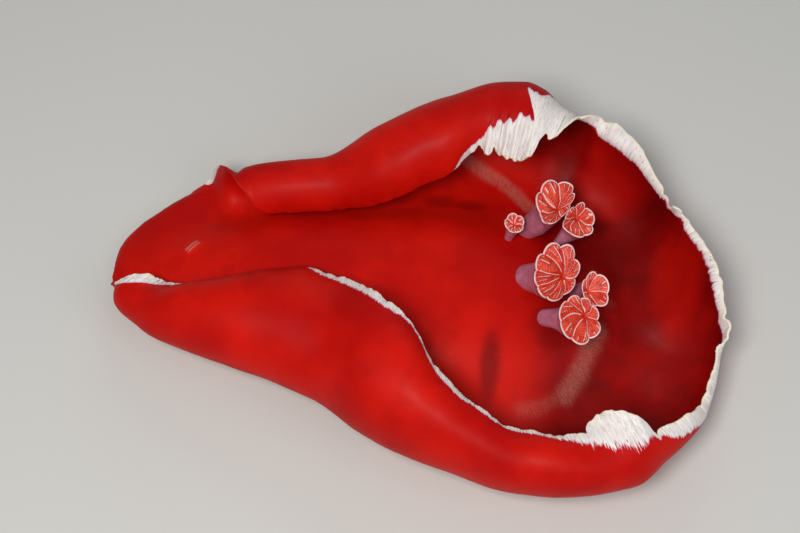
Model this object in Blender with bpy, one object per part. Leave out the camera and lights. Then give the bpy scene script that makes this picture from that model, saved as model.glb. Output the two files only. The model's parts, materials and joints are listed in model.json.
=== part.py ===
"""A Spanish dancer nudibranch, life size, resting on the sole of its foot.

The animal lies along X with its head towards -X and its tail towards +X. Its left side faces
-Y. The mantle, the wide skirt round the back, is rolled up over the front half on both sides
and stands open like a bowl behind, where six gills stand on the back. Metres, +Z up, with the
sole on Z = 0.
"""

import math
from collections import namedtuple

import bmesh
import bpy
import numpy as np
from mathutils import Matrix

# Touching pieces keep this much air between them.
GAP = 0.0003

# The back seen from above is an egg shape, wider behind. A bearing runs round it: 0 degrees at
# the tail, 90 on the right side (+Y), 180 at the head and 270 on the left side (-Y).
BACK_CENTRE_X = -0.012
BACK_HALF_LENGTH = 0.109
BACK_HALF_WIDTH = 0.046
BACK_EGG = 0.30
HEAD_BEND = 0.006
BEND_START_X = -0.020
BEND_LENGTH = 0.080

# Heights of the body, from the floor.
FOOT_TOP = 0.006
ROOT_THICKNESS = 0.006
ROOT_HEIGHT_HEAD = 0.011
ROOT_HEIGHT_TAIL = 0.014
BACK_TOP = 0.030

# The foot is narrower than the back and ends short of the mouth.
FOOT_FRONT = 0.78
FOOT_REAR = 0.88
FOOT_WIDTH = 0.62

# The body is parted across at these places along X.
BODY_PARTS = (
    ("head", -0.130, -0.084),
    ("body_front", -0.084, -0.030),
    ("body_middle", -0.030, 0.030),
    ("body_rear", 0.030, 0.110),
)

# The mantle's thickness falls from its root to its rim.
RIM_THICKNESS = 0.0014
THINNING = 0.75
TUCK_START = 0.66

# What the mantle does at each bearing. It leaves the body at the angle start and bends evenly to
# the angle curl, in degrees above straight outwards, over the length reach. A bias under 1
# bends it more near the body. Tuck is what its last third turns in beside that. The white
# margin is band wide, and its waves are ruffle high.
Key = namedtuple("Key", "bearing reach start curl bias tuck band ruffle")
MANTLE_KEYS = (
    Key(0, 0.0660, -27, 89, 0.90, 0, 0.0045, 0.0012),
    Key(20, 0.0605, -27, 95, 0.90, 10, 0.0045, 0.0012),
    Key(38, 0.0750, -26, 92, 0.95, 12, 0.0060, 0.0016),
    Key(43, 0.0770, -26, 98, 0.95, 12, 0.0070, 0.0018),
    Key(47, 0.0840, -26, 118, 0.97, 18, 0.0080, 0.0018),
    Key(50, 0.0980, -26, 150, 1.04, 28, 0.0090, 0.0016),
    Key(53, 0.1140, -25, 182, 1.12, 34, 0.0090, 0.0014),
    Key(56, 0.1270, -24, 198, 1.18, 34, 0.0090, 0.0014),
    Key(60, 0.1330, -24, 206, 1.22, 34, 0.0090, 0.0014),
    Key(66, 0.1320, -27, 213, 1.20, 34, 0.0080, 0.0014),
    Key(76, 0.1280, -28, 249, 1.14, 20, 0.0060, 0.0010),
    Key(90, 0.1050, -25, 274, 1.12, 0, 0.0040, 0.0004),
    Key(104, 0.0700, -27, 290, 1.17, -10, 0.0035, 0.0003),
    Key(114, 0.0690, -28, 288, 1.16, -8, 0.0035, 0.0003),
    Key(119.5, 0.0670, -27, 280, 1.15, -6, 0.0030, 0.0002),
    Key(123, 0.0600, -25, 248, 1.13, -4, 0.0025, 0.0002),
    Key(126.5, 0.0470, -21, 180, 1.08, 0, 0.0025, 0.0002),
    Key(129.8, 0.0330, -17, 85, 1.00, -5, 0.0025, 0.0002),
    Key(133, 0.0300, -13, 10, 1.00, -20, 0.0025, 0.0002),
    Key(139, 0.0290, -10, -5, 1.00, -36, 0.0025, 0.0002),
    Key(154, 0.0260, -8, -18, 1.00, -44, 0.0025, 0.0002),
    Key(168, 0.0230, -8, -26, 1.00, -40, 0.0025, 0.0002),
    Key(178, 0.0160, -10, -14, 1.00, -28, 0.0025, 0.0002),
    Key(185, 0.0150, -16, 10, 1.05, 0, 0.0025, 0.0002),
    Key(191, 0.0225, -23, 100, 1.10, 10, 0.0035, 0.0004),
    Key(198, 0.0430, -28, 186, 1.13, 18, 0.0045, 0.0005),
    Key(210, 0.0571, -28, 244, 1.08, 4, 0.0055, 0.0006),
    Key(225, 0.0727, -26, 244, 0.87, 9, 0.0045, 0.0003),
    Key(240, 0.0855, -26, 233, 0.66, 8, 0.0045, 0.0003),
    Key(250, 0.0879, -23, 230, 0.61, -2, 0.0050, 0.0005),
    Key(260, 0.0904, -24, 237, 0.65, -16, 0.0050, 0.0005),
    Key(272, 0.1073, -29, 232, 0.82, -24, 0.0055, 0.0005),
    Key(280, 0.1129, -34, 226, 0.90, -9, 0.0052, 0.0005),
    Key(288, 0.1031, -34, 198, 1.03, 20, 0.0050, 0.0006),
    Key(296, 0.0996, -34, 175, 1.15, 38, 0.0055, 0.0006),
    Key(304, 0.1020, -32, 155, 1.24, 62, 0.0060, 0.0006),
    Key(314, 0.1105, -31, 146, 1.31, 70, 0.0075, 0.0007),
    Key(322, 0.1035, -31, 133, 1.38, 47, 0.0080, 0.0010),
    Key(330, 0.0900, -31, 103, 1.34, 38, 0.0070, 0.0012),
    Key(336, 0.0812, -31, 81, 1.23, 43, 0.0065, 0.0012),
    Key(342, 0.0705, -30, 56, 1.14, 47, 0.0060, 0.0012),
    Key(351, 0.0650, -28, 62, 1.00, 26, 0.0050, 0.0012),
)

# Rounded lobes of the white margin: each stands out from the rim at its bearing.
Lobe = namedtuple("Lobe", "bearing half_width length")
MARGIN_LOBES = (
    Lobe(18.5, 1.3, 0.0030),
    Lobe(49.2, 2.2, 0.0050),
    Lobe(53.0, 2.2, 0.0040),
    Lobe(56.6, 2.6, 0.0040),
    Lobe(60.5, 2.4, 0.0030),
    Lobe(65.0, 2.4, 0.0030),
    Lobe(200.0, 8.0, 0.0025),
    Lobe(322.8, 5.4, 0.0090),
    Lobe(353.5, 1.8, 0.0020),
)

# Folds and dents across the mantle: each moves a strip in or out along its face.
Fold = namedtuple("Fold", "bearing half_width depth from_share to_share")
MANTLE_FOLDS = (
    Fold(0.0, 9.0, 0.0014, 0.15, 0.9),
    Fold(24.0, 7.0, -0.0012, 0.15, 0.9),
    Fold(42.0, 6.0, 0.0014, 0.15, 0.9),
    Fold(126.0, 2.2, 0.0016, 0.25, 1.0),
    Fold(126.0, 2.2, 0.0016, 0.25, 1.0),
    Fold(324.0, 5.0, -0.0020, 0.60, 1.0),
    Fold(338.0, 8.0, -0.0014, 0.15, 0.9),
)

# The mantle and its white margin are parted at these bearings. Rows of points run across them,
# on average so many degrees apart, and closer where the rim runs fast from one to the next.
MANTLE_PARTS = (
    ("tail", -20, 22, 3.5),
    ("right_rear", 22, 46, 3.5),
    ("right_middle", 46, 84, 1.9),
    ("right_front", 84, 120, 4.0),
    ("head_right", 120, 182, 2.5),
    ("head_left", 182, 218, 1.65),
    ("left_front", 218, 252, 3.5),
    ("left_middle", 252, 290, 3.5),
    ("left_rear", 290, 340, 3.5),
)
FINE_PER_DEGREE = 8
ROW_TURN = 0.0015
MANTLE_ACROSS = 10
MARGIN_ACROSS = 3
SEAM_SLACK = 1.8
BODY_STEP = 7.5

# Six gills stand in a ring round the anus. Each is a stalk that opens into a cup, which leans
# towards the tail. Base and cup are places in plan, height is the cup's floor above the sole, and
# focus is how far from the cup's middle its pleats meet.
ANUS = (0.070, 0.014)
Gill = namedtuple("Gill", "name base cup height radius focus petals")
GILLS = (
    Gill("gill_right_front", (0.0550, 0.0380), (0.0682, 0.0380), 0.0370, 0.0104, (0.0020, -0.0015), 7),
    Gill("gill_right_rear", (0.0640, 0.0285), (0.0765, 0.0325), 0.0365, 0.0082, (0.0010, 0.0020), 6),
    Gill("gill_front", (0.0480, 0.0300), (0.0500, 0.0310), 0.0335, 0.0042, (0.0, 0.0), 5),
    Gill("gill_left_front", (0.0570, 0.0085), (0.0692, 0.0025), 0.0365, 0.0118, (0.0046, 0.0), 8),
    Gill("gill_rear", (0.0765, 0.0060), (0.0860, -0.0022), 0.0350, 0.0070, (-0.0020, 0.0), 5),
    Gill("gill_left_rear", (0.0655, -0.0080), (0.0792, -0.0155), 0.0345, 0.0098, (0.0040, 0.0020), 7),
)

# The outside of a gill as rings: how far up the stalk, the lift above the cup's floor and the
# width. Lifts and widths of the cup are shares of its radius.
CUP_OUTSIDE = (
    (0.0, 0.0, 0.38),
    (0.45, 0.0, 0.47),
    (0.85, 0.0, 0.68),
    (1.0, 0.12, 0.86),
    (1.0, 0.52, 0.98),
)
CUP_STRETCH = 1.18
CUP_DEPTHS = (0.0, 0.35, 0.72)
RIM_WIDTH = 0.92
RIM_LIFT = 0.52
RIM_SCALLOP = 0.12
FOCUS_LIFT = 0.22
PAD_RISE = 0.16
PAD_SAG = 0.10
PETAL_COLUMNS = 3
GILL_ROOT_DEPTH = 0.001
GILL_WALL = 0.0007
GILL_CLEARANCE = 0.0004
GILL_SPREAD = 1.20
CUP_LEAN = 0.9
FIN_HEIGHT = 0.20
FIN_THICKNESS = 0.0007
FIN_ROOT_DEPTH = 0.0005


def smooth_step(value):
    """0 below 0, 1 above 1 and a smooth rise between."""
    value = np.clip(value, 0.0, 1.0)
    return value * value * (3 - 2 * value)


def turn_between(bearings, centre):
    """The angle in degrees from a centre bearing, between -180 and 180."""
    return np.mod(np.asarray(bearings, float) - centre + 180, 360) - 180


def keyed(column, bearings):
    """A column of MANTLE_KEYS at any bearing: a smooth curve round the keys with no overshoot."""
    keys = np.array([key.bearing for key in MANTLE_KEYS], float)
    values = np.array([getattr(key, column) for key in MANTLE_KEYS], float)
    keys = np.concatenate([keys[-2:] - 360, keys, keys[:2] + 360])
    values = np.concatenate([values[-2:], values, values[:2]])
    secants = np.diff(values) / np.diff(keys)
    slopes = np.zeros_like(values)
    before, after = secants[:-1], secants[1:]
    level = before * after <= 0
    total = np.where(level, 1.0, before + after)
    slopes[1:-1] = np.where(level, 0.0, 2 * before * after / total)
    asked = np.mod(np.asarray(bearings, float), 360)
    cell = np.clip(np.searchsorted(keys, asked, side="right") - 1, 0, len(keys) - 2)
    width = keys[cell + 1] - keys[cell]
    t = (asked - keys[cell]) / width
    rise = smooth_step(t)
    early = t * (1 - t) ** 2 * width * slopes[cell]
    late = t * t * (t - 1) * width * slopes[cell + 1]
    return values[cell] * (1 - rise) + values[cell + 1] * rise + early + late


def midline(x):
    """How far the body's middle lies towards +Y at x: the head bends to the right."""
    return HEAD_BEND * smooth_step((BEND_START_X - x) / BEND_LENGTH)


def back_edge(bearings, scale_x=1.0, scale_y=1.0):
    """Points on the egg-shaped edge of the back, and their outward directions, in plan."""
    angle = np.radians(bearings)
    cos, sin = np.cos(angle), np.sin(angle)
    x = BACK_CENTRE_X + BACK_HALF_LENGTH * scale_x * cos
    y = BACK_HALF_WIDTH * scale_y * sin * (1 + BACK_EGG * cos)
    along_x = -BACK_HALF_LENGTH * sin
    along_y = BACK_HALF_WIDTH * (cos * (1 + BACK_EGG * cos) - BACK_EGG * sin * sin)
    length = np.hypot(along_x, along_y)
    edge = np.stack([x, y + midline(x)], -1)
    return edge, np.stack([along_y / length, -along_x / length], -1)


def root_height(bearings):
    """Middle of the band of the body that the mantle grows from."""
    tailward = (1 + np.cos(np.radians(bearings))) / 2
    return ROOT_HEIGHT_HEAD + (ROOT_HEIGHT_TAIL - ROOT_HEIGHT_HEAD) * tailward


def ruffle_wave(bearings):
    """The margin's waves, from -1 to 1, of uneven length as in life."""
    angle = np.radians(bearings)
    return (np.sin(23 * angle) + 0.7 * np.sin(37 * angle + 1.0)) / 1.7


def lobe_length(bearings):
    """How far the margin's lobes stand out from its plain rim."""
    total = np.zeros(np.shape(bearings))
    for lobe in MARGIN_LOBES:
        turn = turn_between(bearings, lobe.bearing) / lobe.half_width
        total = np.maximum(total, lobe.length * np.sqrt(np.clip(1 - turn * turn, 0, 1)))
    return total


def fold_depth(bearings, shares):
    """How far the folds move the mantle along its face's upward side."""
    total = np.zeros(np.shape(shares))
    for fold in MANTLE_FOLDS:
        turn = turn_between(bearings, fold.bearing) / fold.half_width
        across = np.exp(-turn * turn * 2)[:, None]
        run = (shares - fold.from_share) / (fold.to_share - fold.from_share)
        if fold.to_share < 1:
            along = np.sin(np.pi * np.clip(run, 0, 1)) ** 2
        else:
            along = smooth_step(run * 3)
        total = total + fold.depth * across * along
    return total


def with_lobes(bearings, shares):
    """Shares of the reach with those in the white band stretched out into its lobes."""
    reach = keyed("reach", bearings)[:, None]
    band_share = keyed("band", bearings)[:, None] / reach
    in_band = np.clip((shares - 1 + band_share) / band_share, 0, 1)
    return shares + in_band * lobe_length(bearings)[:, None] / reach


def mantle_middle(bearings, shares):
    """The mantle's middle surface: one row for each bearing, from the root (share 0) to the rim."""
    steps = np.linspace(0, 1.2, 97)
    start = np.radians(keyed("start", bearings))[:, None]
    curl = np.radians(keyed("curl", bearings))[:, None]
    bias = keyed("bias", bearings)[:, None]
    reach = keyed("reach", bearings)[:, None]
    tuck = np.radians(keyed("tuck", bearings))[:, None]
    angle = start + (curl - start) * np.minimum(steps, 1.0)[None, :] ** bias
    angle = angle + tuck * smooth_step((steps[None, :] - TUCK_START) / (1 - TUCK_START))
    pieces = np.diff(steps)[None, :] * reach
    half = (angle[:, 1:] + angle[:, :-1]) / 2
    out = np.concatenate([np.zeros_like(start), np.cumsum(np.cos(half) * pieces, 1)], 1)
    up = np.concatenate([np.zeros_like(start), np.cumsum(np.sin(half) * pieces, 1)], 1)
    shares = np.broadcast_to(shares, (len(out), np.shape(shares)[-1]))
    out = np.stack([np.interp(s, steps, row) for s, row in zip(shares, out)])
    up = np.stack([np.interp(s, steps, row) for s, row in zip(shares, up)])
    lean = np.stack([np.interp(s, steps, row) for s, row in zip(shares, angle)])
    wave = (keyed("ruffle", bearings) * ruffle_wave(bearings))[:, None] * shares**6
    wave = wave + fold_depth(bearings, shares)
    out = out + GAP - np.sin(lean) * wave
    up = up + np.cos(lean) * wave
    edge, outward = back_edge(bearings)
    plan = edge[:, None, :] + outward[:, None, :] * out[:, :, None]
    height = root_height(bearings)[:, None] + up
    return np.concatenate([plan, height[:, :, None]], -1)


def mantle_faces(bearings, shares):
    """The mantle's upper and lower faces, as two grids of points."""
    bearings = np.asarray(bearings, float)
    shares = np.broadcast_to(shares, (len(bearings), np.shape(shares)[-1]))
    shares = with_lobes(bearings, shares)
    nudge = 0.25
    middle = mantle_middle(bearings, shares)
    along = mantle_middle(bearings + nudge, shares) - mantle_middle(bearings - nudge, shares)
    low = np.maximum(shares - 0.004, 0)
    across = mantle_middle(bearings, shares + 0.004) - mantle_middle(bearings, low)
    normal = np.cross(across, along)
    normal /= np.linalg.norm(normal, axis=-1, keepdims=True)
    blend = smooth_step(shares / 0.12)[:, :, None]
    normal = normal * blend + np.array([0.0, 0.0, 1.0]) * (1 - blend)
    normal /= np.linalg.norm(normal, axis=-1, keepdims=True)
    thick = ROOT_THICKNESS + (RIM_THICKNESS - ROOT_THICKNESS) * np.minimum(shares, 1) ** THINNING
    half = normal * thick[:, :, None] / 2
    return middle + half, middle - half


def new_object(name, points, faces, surface, home=None):
    """A mesh object of these points and faces, with its faces pointing out."""
    mesh = bpy.data.meshes.new(name)
    mesh.from_pydata([tuple(map(float, p)) for p in points], [], [tuple(map(int, f)) for f in faces])
    work = bmesh.new()
    work.from_mesh(mesh)
    bmesh.ops.recalc_face_normals(work, faces=work.faces)
    if work.calc_volume(signed=True) < 0:
        bmesh.ops.reverse_faces(work, faces=work.faces)
    work.to_mesh(mesh)
    work.free()
    mesh.materials.append(surface)
    mesh.shade_smooth()
    mesh.set_sharp_from_angle(angle=math.radians(50))
    made = bpy.data.objects.new(name, mesh)
    (home or ANIMAL).objects.link(made)
    return made


def slab(name, upper, lower, surface, home=None):
    """A closed sheet between two grids of points, cut into triangles alike on both faces."""
    rows, columns = upper.shape[:2]
    size = rows * columns
    index = np.arange(size).reshape(rows, columns)
    a, b = index[:-1, :-1].ravel(), index[1:, :-1].ravel()
    c, d = index[1:, 1:].ravel(), index[:-1, 1:].ravel()
    top = np.concatenate([np.stack([a, b, c], -1), np.stack([a, c, d], -1)])
    loop = np.concatenate([index[0, :], index[1:, -1], index[-1, -2::-1], index[-2:0:-1, 0]])
    after = np.roll(loop, -1)
    side = np.concatenate(
        [np.stack([loop, after, after + size], -1), np.stack([loop, after + size, loop + size], -1)]
    )
    faces = np.concatenate([top, top[:, ::-1] + size, side[:, ::-1]])
    points = np.concatenate([upper.reshape(-1, 3), lower.reshape(-1, 3)])
    return new_object(name, points, faces, surface, home)


def stack(name, rings, low_centre, high_centre, surface, home=None):
    """A closed body of rings laid one on another, each with a point at its middle."""
    count = len(rings[0])
    points = np.concatenate([*rings, [low_centre], [high_centre]])
    low, high = len(points) - 2, len(points) - 1
    here = np.arange(count)
    after = np.roll(here, -1)
    faces = [np.stack([after, here, np.full(count, low)], -1)]
    for level in range(len(rings) - 1):
        base, above = level * count, (level + 1) * count
        faces.append(np.stack([base + here, base + after, above + after], -1))
        faces.append(np.stack([base + here, above + after, above + here], -1))
    top = (len(rings) - 1) * count
    faces.append(np.stack([top + here, top + after, np.full(count, high)], -1))
    return new_object(name, points, np.concatenate(faces), surface, home)


def new_material(name, colour, roughness):
    """A plain material of the part's colour."""
    made = bpy.data.materials.new(name)
    made.use_nodes = True
    shader = made.node_tree.nodes["Principled BSDF"]
    shader.inputs["Base Color"].default_value = (*colour, 1.0)
    shader.inputs["Roughness"].default_value = roughness
    shader.inputs["Metallic"].default_value = 0.0
    return made


def new_collection(name, hidden=False):
    """A collection of the scene, left out of renders if hidden."""
    made = bpy.data.collections.new(name)
    bpy.context.scene.collection.children.link(made)
    made.hide_render = hidden
    return made


def remove(objects):
    """Removes these objects and their meshes."""
    for old in list(objects):
        mesh = old.data
        bpy.data.objects.remove(old)
        bpy.data.meshes.remove(mesh)


def apply_modifiers(made):
    """Turns what an object's modifiers make into its own mesh."""
    bpy.context.view_layer.update()
    graph = bpy.context.evaluated_depsgraph_get()
    mesh = bpy.data.meshes.new_from_object(made.evaluated_get(graph))
    old = made.data
    made.modifiers.clear()
    made.data = mesh
    bpy.data.meshes.remove(old)
    mesh.name = made.name


def boolean(made, operation, other=None, group=None, solver="EXACT"):
    """Joins or cuts an object with another one, or with a group of them, and applies it."""
    modifier = made.modifiers.new(operation.lower(), "BOOLEAN")
    modifier.operation = operation
    modifier.solver = solver
    if group is None:
        modifier.object = other
    else:
        modifier.operand_type = "COLLECTION"
        modifier.collection = group
    apply_modifiers(made)


def keep_largest(made):
    """Keeps only the largest closed surface of a mesh."""
    work = bmesh.new()
    work.from_mesh(made.data)
    bmesh.ops.remove_doubles(work, verts=work.verts, dist=1e-6)
    left, shells = set(work.faces), []
    while left:
        shell, edge = set(), [left.pop()]
        while edge:
            face = edge.pop()
            shell.add(face)
            for line in face.edges:
                for near in line.link_faces:
                    if near in left:
                        left.discard(near)
                        edge.append(near)
        shells.append(shell)
    shells.sort(key=len)
    extra = [face for shell in shells[:-1] for face in shell]
    bmesh.ops.delete(work, geom=extra, context="FACES")
    bmesh.ops.triangulate(work, faces=work.faces)
    work.to_mesh(made.data)
    work.free()
    made.data.shade_smooth()
    made.data.set_sharp_from_angle(angle=math.radians(50))


def row_bearings(low, high, step):
    """Bearings from low to high, on average no further apart than step, spread evenly along the rim."""
    fine = np.linspace(low, high, int((high - low) * FINE_PER_DEGREE) + 1)
    rim = mantle_middle(fine, np.ones((len(fine), 1)))[:, 0]
    run = np.linalg.norm(np.diff(rim, axis=0), axis=-1) + ROW_TURN * np.diff(fine)
    travel = np.concatenate([[0], np.cumsum(run)])
    rows = int(math.ceil((high - low) / step)) + 1
    return np.interp(np.linspace(0, travel[-1], rows), travel, fine)


def end_inset(grid):
    """A grid with its first and last rows moved in by half a gap, square to those rows."""
    moved = grid.copy()
    for row, neighbour in ((0, 1), (-1, -2)):
        run = np.gradient(grid[row], axis=0)
        run /= np.linalg.norm(run, axis=-1, keepdims=True)
        inward = grid[neighbour] - grid[row]
        inward -= run * np.sum(run * inward, -1, keepdims=True)
        inward /= np.linalg.norm(inward, axis=-1, keepdims=True)
        moved[row] += inward * SEAM_SLACK * GAP / 2
    return moved


def seam_gap(bearings):
    """The run left open across the mantle so that its seam with the margin is GAP wide."""
    shares = (1 - keyed("band", bearings) / keyed("reach", bearings))[:, None]
    nudge = 0.5
    before = 1 - keyed("band", bearings - nudge) / keyed("reach", bearings - nudge)
    after = 1 - keyed("band", bearings + nudge) / keyed("reach", bearings + nudge)
    along = mantle_middle(bearings + nudge, after[:, None]) - mantle_middle(bearings - nudge, before[:, None])
    across = mantle_middle(bearings, shares) - mantle_middle(bearings, shares - 0.01)
    area = np.linalg.norm(np.cross(along, across), axis=-1)
    slant = area / (np.linalg.norm(along, axis=-1) * np.linalg.norm(across, axis=-1))
    return SEAM_SLACK * GAP / np.maximum(slant, 0.2)


def make_mantle():
    """The red mantle and its white margin, in parts round the body."""
    for name, low, high, step in MANTLE_PARTS:
        bearings = row_bearings(low, high, step)
        reach, band = keyed("reach", bearings)[:, None], keyed("band", bearings)[:, None]
        inner_end = 1 - (band + seam_gap(bearings)) / reach
        inner = inner_end * np.linspace(0, 1, MANTLE_ACROSS + 1)
        outer = 1 - band / reach * np.linspace(1, 0, MARGIN_ACROSS + 1)
        for kind, shares, surface in (("mantle", inner, RED), ("margin", outer, WHITE)):
            upper, lower = mantle_faces(bearings, shares)
            slab(f"{kind}_{name}", end_inset(upper), end_inset(lower), surface)


def ring(bearings, scale_x, scale_y, heights, grow=0.0):
    """A ring of points at a scale of the back's edge and at these heights, grown outwards."""
    edge, outward = back_edge(bearings, scale_x, scale_y)
    heights = np.broadcast_to(heights, (len(bearings),))
    return np.concatenate([edge + outward * grow, heights[:, None]], -1)


def whole_body(name, surface, home, grow=0.0):
    """The body in one piece, from the foot up to the back, grown on every side."""
    bearings = np.arange(0, 360, BODY_STEP)
    low = root_height(bearings) - ROOT_THICKNESS / 2
    high = low + ROOT_THICKNESS
    tailward = (1 + np.cos(np.radians(bearings))) / 2
    bottom = FOOT_TOP + GAP - grow
    rings = [
        ring(bearings, 0.84, 0.60, bottom, grow),
        ring(bearings, 0.95, 0.84, bottom + (low - bottom) * 0.35, grow),
        ring(bearings, 1.0, 1.0, low - grow, grow),
        ring(bearings, 1.0, 1.0, high + grow, grow),
    ]
    for share in (0.96, 0.9, 0.8, 0.66, 0.5, 0.3):
        power = 2.2 + 1.6 * tailward
        heights = high + (BACK_TOP - high) * (1 - share**power) + grow
        rings.append(ring(bearings, share, share, heights, grow * share))
    low_centre = (BACK_CENTRE_X, 0.0, bottom)
    high_centre = (BACK_CENTRE_X, 0.0, BACK_TOP + grow)
    return stack(name, rings, low_centre, high_centre, surface, home)


def make_foot():
    """The foot: a thick flat sole with a thinner rounded skirt."""
    bearings = np.arange(0, 360, BODY_STEP)
    tailward = (1 + np.cos(np.radians(bearings))) / 2
    length = FOOT_FRONT + (FOOT_REAR - FOOT_FRONT) * tailward
    rings = []
    for share, height in ((0.95, 0.0), (1.0, 0.0018), (1.0, 0.0032), (0.94, 0.0046), (0.90, FOOT_TOP)):
        rings.append(ring(bearings, length * share, FOOT_WIDTH * share, height))
    stack("foot", rings, (BACK_CENTRE_X, 0.0, 0.0), (BACK_CENTRE_X, 0.0, FOOT_TOP), RED)


def box(name, low, high, home):
    """A plain box between two corners."""
    work = bmesh.new()
    bmesh.ops.create_cube(work, size=1.0)
    low, high = np.array(low), np.array(high)
    for vert in work.verts:
        vert.co = (np.array(vert.co) + 0.5) * (high - low) + low
    mesh = bpy.data.meshes.new(name)
    work.to_mesh(mesh)
    work.free()
    made = bpy.data.objects.new(name, mesh)
    home.objects.link(made)
    return made


def ball(name, centre, radii, home, turn=0.0, rings=8, sides=12):
    """A ball stretched to three radii and turned about Z, in degrees."""
    work = bmesh.new()
    bmesh.ops.create_uvsphere(work, u_segments=sides, v_segments=rings, radius=1.0)
    place = Matrix.Translation(centre) @ Matrix.Rotation(math.radians(turn), 4, "Z")
    bmesh.ops.transform(work, matrix=place @ Matrix.Diagonal((*radii, 1.0)), verts=work.verts)
    bmesh.ops.triangulate(work, faces=work.faces)
    mesh = bpy.data.meshes.new(name)
    work.to_mesh(mesh)
    work.free()
    mesh.materials.append(RED)
    made = bpy.data.objects.new(name, mesh)
    home.objects.link(made)
    return made


MOUTH_X = -0.107
LIP_RADII = (0.0052, 0.0030, 0.0024)
LIP_HEIGHT = 0.0060


def make_body():
    """The body in its parts, with the lips of the mouth under the head."""
    mouth_y = float(midline(MOUTH_X))
    for name, low, high in BODY_PARTS:
        piece = whole_body(name, RED, ANIMAL)
        cutter = box(f"{name}_cutter", (low + GAP / 2, -0.1, -0.01), (high - GAP / 2, 0.1, 0.1), CUTTERS)
        boolean(piece, "INTERSECT", cutter)
        if name == "head":
            for side in (-1, 1):
                centre = (MOUTH_X, mouth_y + side * 0.0024, LIP_HEIGHT)
                ball("lip", centre, LIP_RADII, PIECES)
            boolean(piece, "UNION", group=PIECES)
            remove(PIECES.objects)
        keep_largest(piece)


TENTACLE_LENGTH = 0.018
TENTACLE_WIDTH = 0.0042
TENTACLE_THICKNESS = 0.0012
TENTACLE_ACROSS = np.linspace(-1, 1, 5)
TENTACLE_ALONG = np.linspace(0, 1, 7)


def make_oral_tentacles(grown_body):
    """The two flat lobes beside the mouth, which lie forward under the mantle's front."""
    mouth_y = float(midline(MOUTH_X))
    for side, name in ((1, "oral_tentacle_right"), (-1, "oral_tentacle_left")):
        rows = []
        for t in TENTACLE_ALONG:
            heading = math.radians(side * (12 + 34 * t))
            x = MOUTH_X + 0.001 - TENTACLE_LENGTH * t * math.cos(heading * 0.7)
            y = mouth_y + side * 0.0085 + TENTACLE_LENGTH * t * math.sin(heading * 0.7)
            width = TENTACLE_WIDTH * (0.55 + 0.45 * math.sin(math.pi * min(t * 0.9 + 0.15, 1.0)))
            across = np.array([math.sin(heading), math.cos(heading), 0.0])
            height = 0.0072 - 0.0040 * smooth_step(t * 2.2)
            fold = 0.0006 * TENTACLE_ACROSS**2
            row = np.array([x, y, height]) + TENTACLE_ACROSS[:, None] * across * width
            row[:, 2] += fold
            rows.append(row)
        grid = np.array(rows)
        half = np.array([0.0, 0.0, TENTACLE_THICKNESS / 2])
        made = slab(name, grid + half, grid - half, RED)
        boolean(made, "DIFFERENCE", grown_body)
        keep_largest(made)


SHEATHS = (
    ("rhinophore_sheath_right", (-0.0990, 0.0157), 51.0),
    ("rhinophore_sheath_left", (-0.0965, -0.0125), -51.0),
)
SHEATH_RADII = (0.0062, 0.0026, 0.0030)
SLIT_RADII = (0.0050, 0.0005, 0.0012)


def back_height(x, y):
    """Height of the back above a place in plan."""
    dx = (x - BACK_CENTRE_X) / BACK_HALF_LENGTH
    dy = (y - float(midline(x))) / BACK_HALF_WIDTH
    share, bearing = 0.5, math.atan2(dy, dx)
    for _ in range(30):
        bearing = math.atan2(dy / (1 + BACK_EGG * math.cos(bearing)), dx)
        share = math.hypot(dx, dy / (1 + BACK_EGG * math.cos(bearing)))
    tailward = (1 + math.cos(bearing)) / 2
    high = float(root_height(math.degrees(bearing))) + ROOT_THICKNESS / 2
    return high + (BACK_TOP - high) * (1 - min(share, 1.0) ** (2.2 + 1.6 * tailward))


def make_rhinophore_sheaths(grown_body):
    """The closed sheaths of the two drawn-in rhinophores: low mounds, each with a slit."""
    for name, place, turn in SHEATHS:
        height = back_height(*place)
        made = ball(name, (*place, height), SHEATH_RADII, ANIMAL, turn, 8, 14)
        slit = ball("slit", (*place, height + SHEATH_RADII[2]), SLIT_RADII, CUTTERS, turn, 6, 12)
        boolean(made, "DIFFERENCE", slit)
        boolean(made, "DIFFERENCE", grown_body)
        keep_largest(made)
        remove([slit])


def make_anus(grown_body):
    """The short tube of the anus in the middle of the gills."""
    height = back_height(*ANUS)
    made = ball("anal_papilla", (*ANUS, height), (0.0024, 0.0024, 0.0050), ANIMAL, rings=6, sides=10)
    hole = ball("hole", (*ANUS, height + 0.0050), (0.0010, 0.0010, 0.0016), CUTTERS, rings=4, sides=8)
    boolean(made, "DIFFERENCE", hole)
    boolean(made, "DIFFERENCE", grown_body)
    keep_largest(made)
    remove([hole])


def unit(vector):
    """A vector, or a row of vectors, of length 1."""
    vector = np.asarray(vector, float)
    return vector / np.linalg.norm(vector, axis=-1, keepdims=True)


def kept_apart(points, gill):
    """The points of a gill drawn in wherever a neighbour's cup leaves them no room."""
    points = np.array(points, float)
    for other in GILLS:
        apart = np.array(other.cup) - np.array(gill.cup)
        distance = np.hypot(*apart)
        if other is gill or distance > GILL_SPREAD * (gill.radius + other.radius):
            continue
        room = distance * gill.radius / (gill.radius + other.radius) - GILL_CLEARANCE
        reach = GILL_SPREAD * gill.radius
        beyond = (points[..., :2] - np.array(gill.cup)) @ (apart / distance)
        drawn = np.where(beyond > 0, beyond * min(room / reach, 1.0), beyond)
        points[..., :2] += (drawn - beyond)[..., None] * (apart / distance)
    return points


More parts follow.
